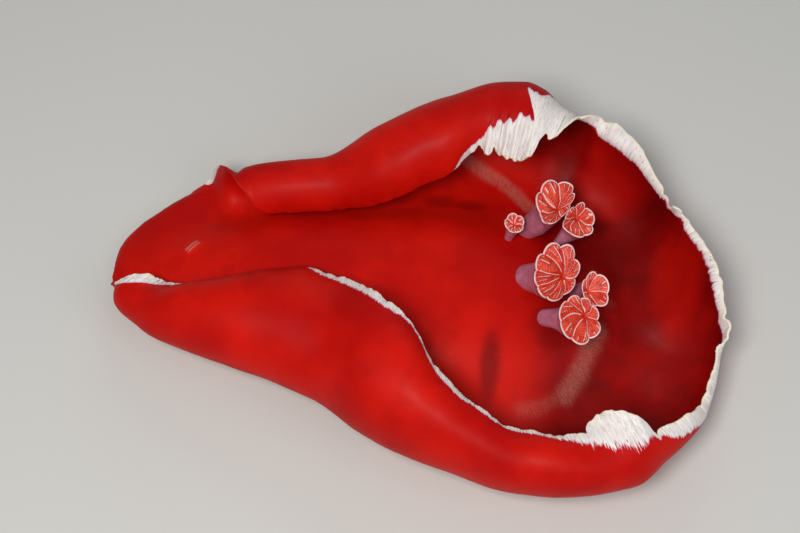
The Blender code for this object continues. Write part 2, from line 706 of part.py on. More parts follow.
def gill_frame(gill):
    """Where a gill is rooted, the floor of its cup, the cup's axis and two directions across it."""
    root = np.array([*gill.base, back_height(*gill.base) - GILL_ROOT_DEPTH])
    floor = np.array([*gill.cup, gill.height])
    axis = unit(unit(floor - root) * CUP_LEAN + np.array([0.0, 0.0, 1.0]))
    side = unit(np.cross([0.0, 1.0, 0.0], axis))
    return root, floor, axis, side, np.cross(axis, side)


def scallop(gill, phase):
    """How far a petal stands out, from 0 in the clefts to 1 in its middle, by turns of the cup."""
    return np.abs(np.sin(math.pi * gill.petals * np.asarray(phase, float))) ** 0.6


def outward_at(frame, phase):
    """The direction out from a cup's axis, by turns round it."""
    angle = 2 * math.pi * np.asarray(phase, float)[..., None]
    return np.cos(angle) * frame[3] + np.sin(angle) * frame[4] * CUP_STRETCH


def cup_inside(gill, frame, phase, depth, lift=0.0):
    """The pleated inner face of a cup, from the rim at depth 0 to where its pleats meet at depth 1."""
    _, floor, axis, _, _ = frame
    petal = scallop(gill, phase)
    radius = gill.radius
    width = radius * (RIM_WIDTH + RIM_SCALLOP * petal) - GILL_WALL
    height = radius * (RIM_LIFT + RIM_SCALLOP * petal)
    rim = floor + outward_at(frame, phase) * width[..., None] + axis * height[..., None]
    focus = floor + np.array([*gill.focus, 0.0]) + axis * radius * FOCUS_LIFT
    pad = radius * np.sin(math.pi * np.asarray(depth, float)) * (PAD_RISE * petal - PAD_SAG) + lift
    depth = np.asarray(depth, float)[..., None]
    return rim * (1 - depth) + focus * depth + axis * pad[..., None]


def make_cup(gill, frame):
    """The stalk of a gill and the wall of its cup, closed by the cup's inner face."""
    root, floor, axis, _, _ = frame
    phase = np.arange(gill.petals * PETAL_COLUMNS) / (gill.petals * PETAL_COLUMNS)
    petal = scallop(gill, phase)[:, None]
    outward = outward_at(frame, phase)
    rings = []
    for up_stalk, lift, width in CUP_OUTSIDE:
        centre = root + (floor - root) * up_stalk
        grown = RIM_SCALLOP * petal * smooth_step(lift / RIM_LIFT)
        rings.append(centre + gill.radius * (outward * (width + grown) + axis * (lift + grown)))
    for depth in CUP_DEPTHS:
        rings.append(cup_inside(gill, frame, phase, np.full(len(phase), depth)))
    middle = cup_inside(gill, frame, np.zeros(1), np.ones(1))[0]
    rings = [kept_apart(each, gill) for each in rings]
    return stack(gill.name, rings, root, kept_apart(middle, gill), GILL_RED)


def make_fin(gill, frame, phase, from_depth, to_depth, height, rows):
    """A thin fin along a pleat of a cup, highest in its middle, rooted in the cup's inner face."""
    depth = np.linspace(from_depth, to_depth, rows)[:, None] * np.ones(2)
    arch = np.sin(np.linspace(0.12, 0.88, rows) * math.pi)[:, None]
    lift = np.concatenate([np.full((rows, 1), -FIN_ROOT_DEPTH), height * arch], 1)
    middle = cup_inside(gill, frame, np.full(depth.shape, phase), depth, lift)
    half = np.cross(frame[2], outward_at(frame, np.array(phase))) * FIN_THICKNESS / 2
    slab("fin", kept_apart(middle + half, gill), kept_apart(middle - half, gill), GILL_RED, PIECES)


def make_gill(gill, grown_body):
    """A gill: a stalk that opens into a scalloped cup, with fins along the cup's pleats."""
    frame = gill_frame(gill)
    made = make_cup(gill, frame)
    for index in range(gill.petals):
        make_fin(gill, frame, index / gill.petals, 0.05, 0.85, gill.radius * FIN_HEIGHT, 4)
        middle = (index + 0.5) / gill.petals
        make_fin(gill, frame, middle, 0.06, 0.50, gill.radius * FIN_HEIGHT / 2, 3)
    boolean(made, "UNION", group=PIECES)
    remove(PIECES.objects)
    keep_largest(made)
    boolean(made, "DIFFERENCE", grown_body)
    keep_largest(made)


def clear_scene():
    """Removes every object that the file opened with."""
    for old in list(bpy.data.objects):
        bpy.data.objects.remove(old)


clear_scene()
ANIMAL = new_collection("spanish_dancer")
CUTTERS = new_collection("cutters", hidden=True)
PIECES = new_collection("pieces", hidden=True)
RED = new_material("red_skin", (0.55, 0.012, 0.006), 0.35)
WHITE = new_material("white_margin", (0.86, 0.80, 0.76), 0.45)
GILL_RED = new_material("gill", (0.80, 0.14, 0.06), 0.35)

make_foot()
make_body()
make_mantle()
GROWN_BODY = whole_body("grown_body", RED, CUTTERS, grow=GAP)
make_oral_tentacles(GROWN_BODY)
make_rhinophore_sheaths(GROWN_BODY)
make_anus(GROWN_BODY)
for each in GILLS:
    make_gill(each, GROWN_BODY)
remove(CUTTERS.objects)
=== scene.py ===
"""The looks of the spanish dancer nudibranch: one seamless skin, six pleated gills and small parts.

The shapes repeat the part's own named sizes, in metres, and add what the solids leave plain:
folds, the crimped white rim, the pleats of the gills and the skin's own marks.
"""

import math
from collections import namedtuple

import bpy
import numpy as np
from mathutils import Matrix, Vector
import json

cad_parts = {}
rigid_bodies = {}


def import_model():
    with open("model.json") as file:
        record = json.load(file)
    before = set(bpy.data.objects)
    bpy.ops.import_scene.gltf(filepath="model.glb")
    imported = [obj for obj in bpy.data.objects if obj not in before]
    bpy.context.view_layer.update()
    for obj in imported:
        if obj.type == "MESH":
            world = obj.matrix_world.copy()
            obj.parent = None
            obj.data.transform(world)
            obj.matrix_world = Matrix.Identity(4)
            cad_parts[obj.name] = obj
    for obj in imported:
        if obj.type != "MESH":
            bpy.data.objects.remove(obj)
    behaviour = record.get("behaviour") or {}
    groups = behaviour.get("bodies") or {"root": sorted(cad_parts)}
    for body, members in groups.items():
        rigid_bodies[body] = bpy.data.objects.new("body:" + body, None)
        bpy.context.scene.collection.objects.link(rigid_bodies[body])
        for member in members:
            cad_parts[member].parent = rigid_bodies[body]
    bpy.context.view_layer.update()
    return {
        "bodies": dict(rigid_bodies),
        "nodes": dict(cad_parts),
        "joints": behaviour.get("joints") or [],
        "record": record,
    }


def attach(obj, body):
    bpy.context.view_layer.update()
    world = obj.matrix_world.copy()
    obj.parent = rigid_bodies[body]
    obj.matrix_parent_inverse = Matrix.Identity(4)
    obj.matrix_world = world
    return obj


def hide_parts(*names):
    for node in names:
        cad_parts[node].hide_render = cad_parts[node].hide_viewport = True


def table(columns, *rows):
    """A table's rows as tuples with named columns."""
    row_of = namedtuple("Row", columns)
    return [row_of(*row) for row in rows]


# The camera of the photo: its direction, distance, scale and what it looks at, in metres and
# degrees. The body lies some pixels below the picture's middle.
CAMERA_AZIMUTH = 5.0
CAMERA_ELEVATION = 60.0
CAMERA_DISTANCE = 0.75
METRES_PER_PIXEL = 0.000459
CAMERA_TARGET = (0.0, 0.0, 0.024)
BODY_BELOW_MIDDLE = 20
PHOTO_WIDTH = 800
SENSOR_WIDTH = 36.0

# The back seen from above is an egg shape, wider behind. A bearing runs round it: 0 degrees at
# the tail, 90 on the right side (+Y), 180 at the head and 270 on the left side (-Y).
BACK_CENTRE_X = -0.012
BACK_HALF_LENGTH = 0.109
BACK_HALF_WIDTH = 0.046
BACK_EGG = 0.3
HEAD_BEND = 0.006
BEND_START_X = -0.02
BEND_LENGTH = 0.08
FOOT_TOP = 0.006
ROOT_THICKNESS = 0.006
ROOT_HEIGHT_HEAD = 0.011
ROOT_HEIGHT_TAIL = 0.014
BACK_TOP = 0.03
FOOT_FRONT = 0.78
FOOT_REAR = 0.88
FOOT_WIDTH = 0.62
RIM_THICKNESS = 0.0012
THINNING = 0.75
TUCK_START = 0.66
# The back's dome falls off with a power of the distance from its middle, steeper behind.
DOME_POWER = 2.2
DOME_POWER_GAIN = 1.6

# The mantle's course by bearing: its reach, the angle at its root and at its rim, how early it
# curls, how far its outer part tucks in, the band that its lobes draw out and its ruffle.
MANTLE_KEYS = table(
    "bearing reach start curl bias tuck band ruffle",
    (0, 0.066, -27, 89, 0.9, 0, 0.0045, 0.0012),
    (20, 0.0605, -27, 95, 0.9, 10, 0.0045, 0.0012),
    (38, 0.075, -26, 92, 0.95, 12, 0.006, 0.0016),
    (43, 0.077, -26, 98, 0.95, 12, 0.007, 0.0018),
    (47, 0.084, -26, 118, 0.97, 18, 0.008, 0.0018),
    (50, 0.098, -26, 150, 1.04, 28, 0.009, 0.0016),
    (53, 0.114, -25, 182, 1.12, 34, 0.009, 0.0014),
    (56, 0.127, -24, 198, 1.18, 34, 0.009, 0.0014),
    (60, 0.133, -24, 206, 1.22, 34, 0.009, 0.0014),
    (66, 0.132, -27, 213, 1.2, 34, 0.008, 0.0014),
    (76, 0.128, -28, 249, 1.14, 20, 0.006, 0.001),
    (90, 0.105, -25, 274, 1.12, 0, 0.004, 0.0004),
    (104, 0.07, -27, 290, 1.17, -10, 0.0035, 0.0003),
    (114, 0.069, -28, 288, 1.16, -8, 0.0035, 0.0003),
    (119.5, 0.067, -27, 280, 1.15, -6, 0.003, 0.0002),
    (123, 0.06, -25, 248, 1.13, -4, 0.0025, 0.0002),
    (126.5, 0.047, -21, 180, 1.08, 0, 0.0025, 0.0002),
    (129.8, 0.033, -17, 85, 1.0, -5, 0.0025, 0.0002),
    (133, 0.03, -13, 10, 1.0, -20, 0.0025, 0.0002),
    (139, 0.029, -10, -5, 1.0, -36, 0.0025, 0.0002),
    (154, 0.026, -8, -18, 1.0, -44, 0.0025, 0.0002),
    (168, 0.023, -8, -26, 1.0, -40, 0.0025, 0.0002),
    (178, 0.016, -10, -14, 1.0, -28, 0.0025, 0.0002),
    (185, 0.015, -16, 10, 1.05, 0, 0.0025, 0.0002),
    (191, 0.0225, -23, 100, 1.1, 10, 0.0035, 0.0004),
    (198, 0.043, -28, 186, 1.13, 18, 0.0045, 0.0005),
    (210, 0.0571, -28, 244, 1.08, 4, 0.0055, 0.0006),
    (225, 0.0727, -26, 244, 0.87, 9, 0.0045, 0.0003),
    (240, 0.0855, -26, 233, 0.66, 8, 0.0045, 0.0003),
    (250, 0.0879, -23, 230, 0.61, -2, 0.005, 0.0005),
    (260, 0.0904, -24, 237, 0.65, -16, 0.005, 0.0005),
    (272, 0.1073, -29, 232, 0.82, -24, 0.0055, 0.0005),
    (280, 0.1129, -34, 226, 0.9, -9, 0.0052, 0.0005),
    (288, 0.1031, -34, 198, 1.03, 20, 0.005, 0.0006),
    (296, 0.0996, -34, 175, 1.15, 38, 0.0055, 0.0006),
    (304, 0.102, -32, 155, 1.24, 62, 0.006, 0.0006),
    (314, 0.1105, -31, 146, 1.31, 70, 0.0075, 0.0007),
    (322, 0.1035, -31, 133, 1.38, 47, 0.008, 0.001),
    (330, 0.09, -31, 103, 1.34, 38, 0.007, 0.0012),
    (336, 0.0812, -31, 81, 1.23, 43, 0.0065, 0.0012),
    (342, 0.0705, -30, 56, 1.14, 47, 0.006, 0.0012),
    (351, 0.065, -28, 62, 1.0, 26, 0.005, 0.0012),
)
# Lobes of the margin stand out from the plain rim, and notches part them.
MARGIN_LOBES = table(
    "bearing half_width length",
    (18.5, 1.3, 0.003), (49.2, 2.4, 0.003), (58.4, 5.4, 0.0062), (65.2, 1.7, 0.003),
    (200.0, 8.0, 0.0025), (322.8, 5.4, 0.009), (353.5, 1.8, 0.002),
)
RIM_NOTCHES = table(
    "bearing half_width depth",
    (20.4, 0.8, 0.0016), (23.6, 0.7, 0.0014), (46.9, 0.6, 0.0012), (52.3, 1.1, 0.0042),
    (63.5, 0.6, 0.0026), (67.6, 0.7, 0.002), (328.8, 0.7, 0.0024), (351.8, 0.6, 0.0014),
    (355.6, 0.6, 0.0014),
)
# Folds of the mantle run from a share of its reach to another.
MANTLE_FOLDS = table(
    "bearing half_width depth from_share to_share",
    (0.0, 9.0, 0.0014, 0.15, 0.9), (24.0, 7.0, -0.0012, 0.15, 0.9), (42.0, 6.0, 0.0014, 0.15, 0.9),
    (126.0, 2.2, 0.0016, 0.25, 1.0), (324.0, 5.0, -0.002, 0.6, 1.0),
    (338.0, 8.0, -0.0014, 0.15, 0.9),
)

# The last stretch of the rim turns in, or out where the angle is negative: degrees, and a length
# in millimetres. Frill is how strong its crimps are there, and how far down they run.
RIM_TURNS = table(
    "bearing angle length frill run",
    (0, -70, 5.0, 1.2, 5.0), (13, -75, 5.0, 1.2, 5.0), (17, -30, 4.0, 0.8, 4.0),
    (19, -10, 5.0, 0.8, 4.0), (22, -45, 4.0, 1.0, 4.0), (27, -65, 6.0, 1.2, 6.0),
    (33, -80, 8.5, 1.4, 8.0), (38, -95, 10.5, 1.6, 10.0), (43, -85, 10.0, 1.6, 10.0),
    (46.5, -25, 7.0, 1.2, 12.0), (49, 0, 7.0, 1.6, 18.0), (55, 0, 8.0, 2.0, 18.0),
    (64, -10, 8.0, 2.0, 14.0), (69, 0, 6.0, 1.2, 8.0), (76, 0, 5.0, 0.5, 5.0),
    (129, 0, 4.0, 0.4, 3.0), (190, 0, 5.0, 0.4, 4.0), (200, -25, 7.0, 0.8, 5.0),
    (211, -40, 7.0, 0.6, 5.0), (220, 0, 6.0, 0.5, 5.0), (250, 0, 5.0, 0.8, 5.0),
    (290, 0, 5.0, 1.0, 5.0), (314, 0, 6.0, 1.0, 7.0), (322, 0, 8.0, 1.2, 12.0),
    (328, 10, 7.0, 1.0, 8.0), (333, 35, 8.0, 1.2, 7.0), (345, 35, 8.0, 1.2, 7.0),
    (351, 20, 6.0, 1.0, 6.0), (355, -20, 5.0, 1.0, 5.0),
)
# The turned rim keeps the plain rim's place: the profile is drawn in to it from this share on.
TURN_START = 0.35
# The lobe of the right side's margin that hangs from the roll is pleated as a fan: bearings,
# degrees for each pleat, its depth, how far its scallops stand out and how the fan's ends fade.
FAN_FROM = 52.6
FAN_TO = 66.4
FAN_PLEAT = 2.1
FAN_DEPTH = 0.0016
FAN_SCALLOP = 0.002
FAN_EDGE = 1.2
# The flap on the left side is creased aslant: the crease's bearing grows from its tip down.
CREASE_BEARING = 320.6
CREASE_SLANT = 0.62
CREASE_WIDTH = 0.55
CREASE_DEPTH = 0.0016
CREASE_LENGTH = 12

# Layers of noise round the animal: their depth, how many bumps they have and their seed.
RIM_CRIMPS = ((0.0008, 190, 3), (0.0004, 420, 4))
BOWL_WAVES = ((0.0016, 23, 6), (0.0008, 47, 7))
RIM_TATTERS = ((0.0005, 330, 8), (0.0004, 140, 9))
FINE_CRIMP = 0.00016
FINE_CRIMP_COUNT = 640

# Six gills stand in a ring round the anus. Each is a stalk that opens into a cup, which leans
# towards the tail. Base and cup are places in plan, height is the cup's floor above the sole, and
# focus is how far from the cup's middle its pleats meet.
ANUS = (0.07, 0.014)
GILLS = table(
    "name base cup height radius focus petals",
    ("gill_right_front", (0.055, 0.038), (0.0682, 0.038), 0.037, 0.0104, (0.002, -0.0015), 7),
    ("gill_right_rear", (0.064, 0.0285), (0.0765, 0.0325), 0.0365, 0.0082, (0.001, 0.002), 6),
    ("gill_front", (0.048, 0.03), (0.05, 0.031), 0.0335, 0.0042, (0.0, 0.0), 5),
    ("gill_left_front", (0.057, 0.0085), (0.0692, 0.0025), 0.0365, 0.0118, (0.0046, 0.0), 8),
    ("gill_rear", (0.0765, 0.006), (0.086, -0.0022), 0.035, 0.007, (-0.002, 0.0), 5),
    ("gill_left_rear", (0.0655, -0.008), (0.0792, -0.0155), 0.0345, 0.0098, (0.004, 0.002), 7),
)

# The outside of a gill as rings: how far up the stalk, the lift above the cup's floor and the
# width. Lifts and widths of the cup are shares of its radius.
CUP_OUTSIDE = (
    (0.0, 0.0, 0.44),
    (0.45, 0.0, 0.56),
    (0.85, 0.0, 0.76),
    (1.0, 0.12, 0.88),
    (1.0, 0.52, 0.98),
)
# A cup's stretch across, its rim, the point where its pleats meet and their rise and sag, as
# shares of its radius.
CUP_STRETCH = 1.18
RIM_WIDTH = 0.965
RIM_LIFT = 0.52
RIM_SCALLOP = 0.17
FOCUS_LIFT = 0.22
PAD_RISE = 0.16
PAD_SAG = 0.1
# A gill's depth in the skin, its wall, its room beside a neighbour and how its cup leans.
GILL_ROOT_DEPTH = 0.001
GILL_WALL = 0.0005
GILL_CLEARANCE = 0.0004
GILL_SPREAD = 1.2
CUP_LEAN = 0.9
# How finely a gill is drawn, and how uneven its petals are.
PETAL_COLUMNS = 48
PETAL_DRIFT = 0.022
OUTSIDE_STEPS = 10
INSIDE_STEPS = 58
LIP_STEPS = 3
# The white line on the lip, the crests of the pleats and the fine ribs between them.
LIP_LINE = 0.00013
CREST_HEIGHT = 0.17
CREST_WIDTH = 0.00032
CREST_BEND = 0.034
CREST_SWIRL = 0.03
SIDE_ROWS = 11
SIDE_SLANT = 3.4
SIDE_HEIGHT = 0.00018
# Crests end at a depth of the cup, and short ones and forks are lower than long ones.
LONG_REACH = 0.94
SHORT_REACH = 0.48
FORK_REACH = 0.3
SHORT_SHARE = 0.6
FORK_SHARE = 0.3

# The mouth's lips and tentacles, the rhinophores' sheaths and the anal papilla.
MOUTH_X = -0.107
LIP_RADII = (0.0052, 0.003, 0.0024)
LIP_HEIGHT = 0.006
TENTACLE_LENGTH = 0.018
TENTACLE_WIDTH = 0.0042
TENTACLE_THICKNESS = 0.0012
SHEATHS = (
    ("rhinophore_sheath_right", (-0.099, 0.0157), 51.0),
    ("rhinophore_sheath_left", (-0.0965, -0.0125), -51.0),
)
SHEATH_RADII = (0.0072, 0.0042, 0.0013)
SLIT_HALF_LENGTH = 0.0044
SLIT_HALF_WIDTH = 0.00045
SLIT_DEPTH = 0.001
# The slit's lips: how far they lie from its middle, their width and how far they stand up.
LIP_OFFSET = 0.0009
LIP_WIDTH = 0.0005
LIP_RISE = 0.00022
# A sheath's patch of skin has this depth, and its border sinks into the skin round it.
PATCH_DEPTH = 0.0012
PATCH_SINK = 0.00025
PAPILLA_RADIUS = 0.0024
PAPILLA_HEIGHT = 0.005
PAPILLA_RIBS = 11
# The papilla's width and height up its outside, over its rim and down inside it.
PAPILLA_PROFILE = (
    (1.35, -0.1), (1.12, 0.06), (1.0, 0.25), (0.92, 0.55), (0.88, 0.8),
    (0.74, 0.97), (0.55, 0.99), (0.4, 0.9), (0.3, 0.72), (0.2, 0.62),
)

# The skin is one grid: points along each profile, from the middle of the back over the mantle,
# round its rim, under it and down the body's side to the middle of the sole.
SKIN_BEARINGS = 1800
SKIN_PARTS = ("foot", "head", "body", "mantle", "margin")
BACK_STEPS = 30
BACK_FROM = 0.03
BACK_TO = 0.985
UPPER_STEPS = 84
CAP_STEPS = 7
LOWER_STEPS = 64
RIM_CROWDING = 1.35
SIDE_STEPS = 5
ROOT_SMOOTHING = 14
ROOT_WINDOW = 9
# What stands for a place that is nowhere near the rim, in millimetres.
FAR_FROM_RIM = 200.0
UP = np.array([0.0, 0.0, 1.0])

# How wide the white of the rim is inside its lobes, and how long its teeth are, in millimetres.
WHITE_KEYS = table(
    "bearing width teeth",
    (0, 3.4, 2.0), (8, 3.2, 2.0), (14, 3.4, 2.0), (16.5, 1.2, 1.0), (18.5, 2.4, 0.6),
    (20.5, 0.6, 1.0), (23, 1.8, 2.0), (25, 4.6, 1.2), (31, 5.6, 1.2), (36, 8.6, 1.6),
    (41, 9.4, 1.6), (45, 5.0, 1.6), (46.5, 5.0, 1.6), (48, 12.0, 1.6), (52, 13.0, 1.2),
    (57, 13.5, 1.0), (61.5, 11.5, 1.4), (65.5, 8.5, 1.4), (67.5, 3.0, 1.0), (69, 4.2, 1.0),
    (71.5, 3.4, 1.0), (73, 0.3, 1.0), (76, 0.0, 0.5), (129.5, 0.0, 0.5), (131.8, 3.2, 0.6),
    (134, 2.6, 0.6), (135.5, 0.0, 0.5), (190, 0.0, 0.5), (193, 3.4, 0.4), (199, 4.4, 0.4),
    (206, 3.6, 0.4), (213, 2.0, 0.4), (217, 0.0, 0.5), (248, 0.0, 1.0), (251, 2.4, 2.6),
    (256, 4.4, 2.4), (262, 5.0, 2.2), (271, 5.0, 2.4), (276, 3.8, 2.0), (279.5, 1.8, 1.2),
    (282, 1.8, 1.2), (286, 4.4, 2.0), (291, 4.8, 2.0), (295, 3.2, 1.6), (300, 2.6, 1.4),
    (306, 2.6, 1.6), (312, 3.4, 3.0), (316, 5.6, 5.0), (319, 6.8, 6.4), (322, 7.2, 7.4),
    (325, 6.4, 7.0), (327, 4.0, 3.5), (328.4, 1.8, 1.5), (330, 3.0, 2.0), (331.5, 6.6, 3.0),
    (338, 7.6, 2.6), (345, 7.0, 2.2), (351, 6.0, 1.8), (353, 3.0, 1.2), (355, 4.6, 1.0),
)
# Beside the fan the white covers the roll's end outside a slanting line: a place on it in plan,
# its slant, the white's width in millimetres and its bearings.
LOBE_LINE = (0.0499, 0.0858)
LOBE_SLANT = -0.33
LOBE_WHITE = 34.0
LOBE_BEARINGS = (46.5, 62.0)

# Pale bands of the skin, in plan: points of a line, its half width and its strength.
PALE_BANDS = (
    (
        ((0.025, 0.08), (0.0328, 0.0755), (0.0429, 0.0695), (0.0504, 0.0625), (0.057, 0.0551)),
        0.0036,
        1.0,
    ),
    (((0.092, -0.012), (0.0878, -0.0213), (0.083, -0.0337), (0.0779, -0.043)), 0.005, 0.75),
    (((0.0779, -0.043), (0.068, -0.049), (0.0585, -0.0522)), 0.005, 0.45),
    (((0.09, 0.017), (0.096, 0.004)), 0.005, 0.35),
)
# Oval patches in plan: their middle, half lengths and strength. Of the dark ones, the first is a dark
# mark of the skin, the second is painted shadow under the left rear gill, the third and fourth are
# painted shadow under the right side's roll, and the last darkens a thin band beside the roll's end on
# the right side.
DARK_MARKS_AND_SHADOWS = (
    ((0.0435, -0.0352), (0.004, 0.0125), 1.0),
    ((0.0713, -0.0146), (0.008, 0.011), 0.8),
    ((0.0142, 0.0543), (0.007, 0.004), 0.7),
    ((0.0286, 0.0527), (0.007, 0.0035), 0.7),
    ((0.101, 0.0455), (0.015, 0.003), 0.9),
)
# Painted light: lighter patches on the bowl's rear wall, where its folds face the lamp, are kept
# bright red instead of the deeper red.
PAINTED_LIGHT_PATCHES = (
    ((0.098, 0.066), (0.015, 0.012), 0.55),
    ((0.126, 0.015), (0.008, 0.018), 0.45),
)

# The back is bright red as far as the gills, and the bowl behind them is painted a deeper red: partly
# the skin's own darker tone and partly painted shade in the bowl's hollow.
DEEP_AND_SHADE_FROM_X = 0.052
DEEP_AND_SHADE_BLEND = 0.026
# The marks and the painted shadows lie on the bowl's floor and fade above this height.
MARKS_BELOW = 0.05
MARKS_FADE = 0.012

# Lamps: name, place, watts, size and tone.
LIGHTS = (
    ("key_light", (-0.16, -0.5, 0.95), 8.4, 0.35, (1.0, 0.97, 0.93)),
    ("fill_light", (0.65, -0.45, 0.65), 1.8, 0.6, (0.94, 0.97, 1.0)),
    ("back_light", (0.1, 0.85, 0.6), 1.2, 0.6, (1.0, 1.0, 1.0)),
)
SKY = (0.86, 0.9, 0.95, 1.0)
SKY_STRENGTH = 0.17
LIGHT_TARGET = (0.01, 0.0, 0.02)
FLOOR_HALF = 3.0
FLOOR_DROP = 0.0002


def ease(value):
    """0 below 0, 1 above 1 and a smooth rise between."""
    value = np.clip(value, 0.0, 1.0)
    return value * value * (3 - 2 * value)


def turn_between(bearings, centre):
    """The angle in degrees from a centre bearing, between -180 and 180."""
    return np.mod(bearings - centre + 180, 360) - 180


def keyed(column, bearings, rows=MANTLE_KEYS):
    """A column of a table of keys at any bearing: a smooth curve with no overshoot."""
    keys = np.array([key.bearing for key in rows], float)
    values = np.array([getattr(key, column) for key in rows], float)
    keys = np.concatenate([keys[-2:] - 360, keys, keys[:2] + 360])
    values = np.concatenate([values[-2:], values, values[:2]])
    secants = np.diff(values) / np.diff(keys)
    slopes = np.zeros_like(values)
    before, after = secants[:-1], secants[1:]
    level = before * after <= 0
    total = np.where(level, 1.0, before + after)
    slopes[1:-1] = np.where(level, 0.0, 2 * before * after / total)
    asked = np.mod(bearings, 360)
    cell = np.clip(np.searchsorted(keys, asked, side="right") - 1, 0, len(keys) - 2)
    width = keys[cell + 1] - keys[cell]
    t = (asked - keys[cell]) / width
    rise = ease(t)
    early = t * (1 - t) ** 2 * width * slopes[cell]
    late = t * t * (t - 1) * width * slopes[cell + 1]
    return values[cell] * (1 - rise) + values[cell + 1] * rise + early + late


def columns(names, bearings, rows=MANTLE_KEYS):
    """Several columns of a table at these bearings, each with one row for a bearing."""
    return [keyed(name, bearings, rows)[:, None] for name in names.split()]


def midline(x):
    """How far the body's middle lies towards +Y at x: the head bends to the right."""
    return HEAD_BEND * ease((BEND_START_X - x) / BEND_LENGTH)


def back_edge(bearings, scale_x=1.0, scale_y=1.0):
    """Points on the egg-shaped edge of the back, and their outward directions, in plan."""
    angle = np.radians(bearings)
    cos, sin = np.cos(angle), np.sin(angle)
    x = BACK_CENTRE_X + BACK_HALF_LENGTH * scale_x * cos
    y = BACK_HALF_WIDTH * scale_y * sin * (1 + BACK_EGG * cos)
    along_x = -BACK_HALF_LENGTH * sin
    along_y = BACK_HALF_WIDTH * (cos * (1 + BACK_EGG * cos) - BACK_EGG * sin * sin)
    length = np.hypot(along_x, along_y)
    edge = np.stack([x, y + midline(x)], -1)
    return edge, np.stack([along_y / length, -along_x / length], -1)


def root_height(bearings):
    """Middle of the band of the body that the mantle grows from."""
    tailward = (1 + np.cos(np.radians(bearings))) / 2
    return ROOT_HEIGHT_HEAD + (ROOT_HEIGHT_TAIL - ROOT_HEIGHT_HEAD) * tailward


def ruffle_wave(bearings):
    """The margin's waves, from -1 to 1, of uneven length as in life."""
    angle = np.radians(bearings)
    return (np.sin(23 * angle) + 0.7 * np.sin(37 * angle + 1.0)) / 1.7


def lobe_length(bearings):
    """How far the margin's lobes stand out from its plain rim."""
    total = np.zeros(np.shape(bearings))
    for lobe in MARGIN_LOBES:
        turn = turn_between(bearings, lobe.bearing) / lobe.half_width
        total = np.maximum(total, lobe.length * np.sqrt(np.clip(1 - turn * turn, 0, 1)))
    return total


def fold_depth(bearings, shares):
    """How far the folds move the mantle along its face's upward side."""
    total = np.zeros(np.shape(shares))
    for fold in MANTLE_FOLDS:
        turn = turn_between(bearings, fold.bearing) / fold.half_width
        across = np.exp(-turn * turn * 2)[:, None]
        run = (shares - fold.from_share) / (fold.to_share - fold.from_share)
        if fold.to_share < 1:
            along = np.sin(np.pi * np.clip(run, 0, 1)) ** 2
        else:
            along = ease(run * 3)
        total = total + fold.depth * across * along
    return total


def ring_noise(bearings, count, seed):
    """Smooth noise round the animal with about this many bumps, from -1 to 1."""
    draw = np.random.default_rng(seed)
    knots = draw.uniform(-1, 1, count)
    place = np.mod(bearings / 360, 1.0) * count
    low = np.floor(place).astype(int) % count
    t = ease(place - np.floor(place))
    return knots[low] * (1 - t) + knots[(low + 1) % count] * t


def layered_noise(bearings, layers):
    """Noise round the animal in layers of a depth, a number of bumps and a seed."""
    return sum(depth * ring_noise(bearings, count, seed) for depth, count, seed in layers)


def crimp(bearings, shares):
    """Crimps across the rim and soft undulations of the bowl, which the solids leave out."""
    reach = keyed("reach", bearings)[:, None]
    run, frill = columns("run frill", bearings, RIM_TURNS)
    rear = ease((np.cos(np.radians(turn_between(bearings, 10))) + 0.15) / 0.6)
    run = run / 1000 / reach
    near_rim = np.clip((shares - 1 + run) / run, 0, 1.3)
    small = layered_noise(bearings, RIM_CRIMPS)[:, None]
    drift = 5 * ring_noise(bearings, 240, 5)
    fine = FINE_CRIMP * np.sin(np.radians(bearings) * FINE_CRIMP_COUNT + drift)[:, None]
    edge = small * frill * near_rim**1.5
    edge = edge + fine * np.minimum(frill, 1.0) * np.minimum(near_rim * 1.5, 1)
    waves = (layered_noise(bearings, BOWL_WAVES) * rear)[:, None]
    bowl = waves * np.sin(np.pi * np.clip(shares, 0, 1)) ** 1.5
    pleat = np.exp(-((np.sin(np.pi * (bearings - FAN_FROM) / FAN_PLEAT) / 0.45) ** 2))
    fan = -FAN_DEPTH * (pleat * in_fan(bearings))[:, None] * near_rim
    away = (1 + lobe_length(bearings)[:, None] / reach - shares) * reach * 1000
    aslant = turn_between(bearings, CREASE_BEARING)[:, None] - CREASE_SLANT * away
    crease = -CREASE_DEPTH * np.exp(-((aslant / CREASE_WIDTH) ** 2))
    return edge + bowl + fan + crease * ease((CREASE_LENGTH - away) / 3)


def in_fan(bearings):
    """1 in the pleated lobe and 0 outside it."""
    return ease((bearings - FAN_FROM) / FAN_EDGE) * ease((FAN_TO - bearings) / FAN_EDGE)


def rim_growth(bearings):
    """How far the ragged rim stands out from the plain one."""
    white = ease(keyed("ruffle", bearings) / 0.0012)
    ragged = layered_noise(bearings, RIM_TATTERS)
    pleats = np.abs(np.sin(np.pi * (bearings - FAN_FROM) / FAN_PLEAT)) ** 0.6
    growth = ragged * (0.25 + 0.75 * white) + FAN_SCALLOP * pleats * in_fan(bearings)
    for notch in RIM_NOTCHES:
        turn = turn_between(bearings, notch.bearing) / notch.half_width
        growth = growth - notch.depth * np.exp(-turn * turn * 2)
    return growth


def with_lobes(bearings, shares):
    """Shares of the reach with those in the white band stretched out into its lobes."""
    reach, band = columns("reach band", bearings)
    band_share = band / reach
    in_band = np.clip((shares - 1 + band_share) / band_share, 0, 1)
    grown = lobe_length(bearings) + rim_growth(bearings)
    return shares + in_band * grown[:, None] / reach


def profile(angle, steps, reach):
    """A profile's places outward and upward, from its angles at even steps along it."""
    pieces = np.diff(steps)[None, :] * reach
    half = (angle[:, 1:] + angle[:, :-1]) / 2
    start = np.zeros_like(reach)
    out = np.concatenate([start, np.cumsum(np.cos(half) * pieces, 1)], 1)
    up = np.concatenate([start, np.cumsum(np.sin(half) * pieces, 1)], 1)
    return out, up


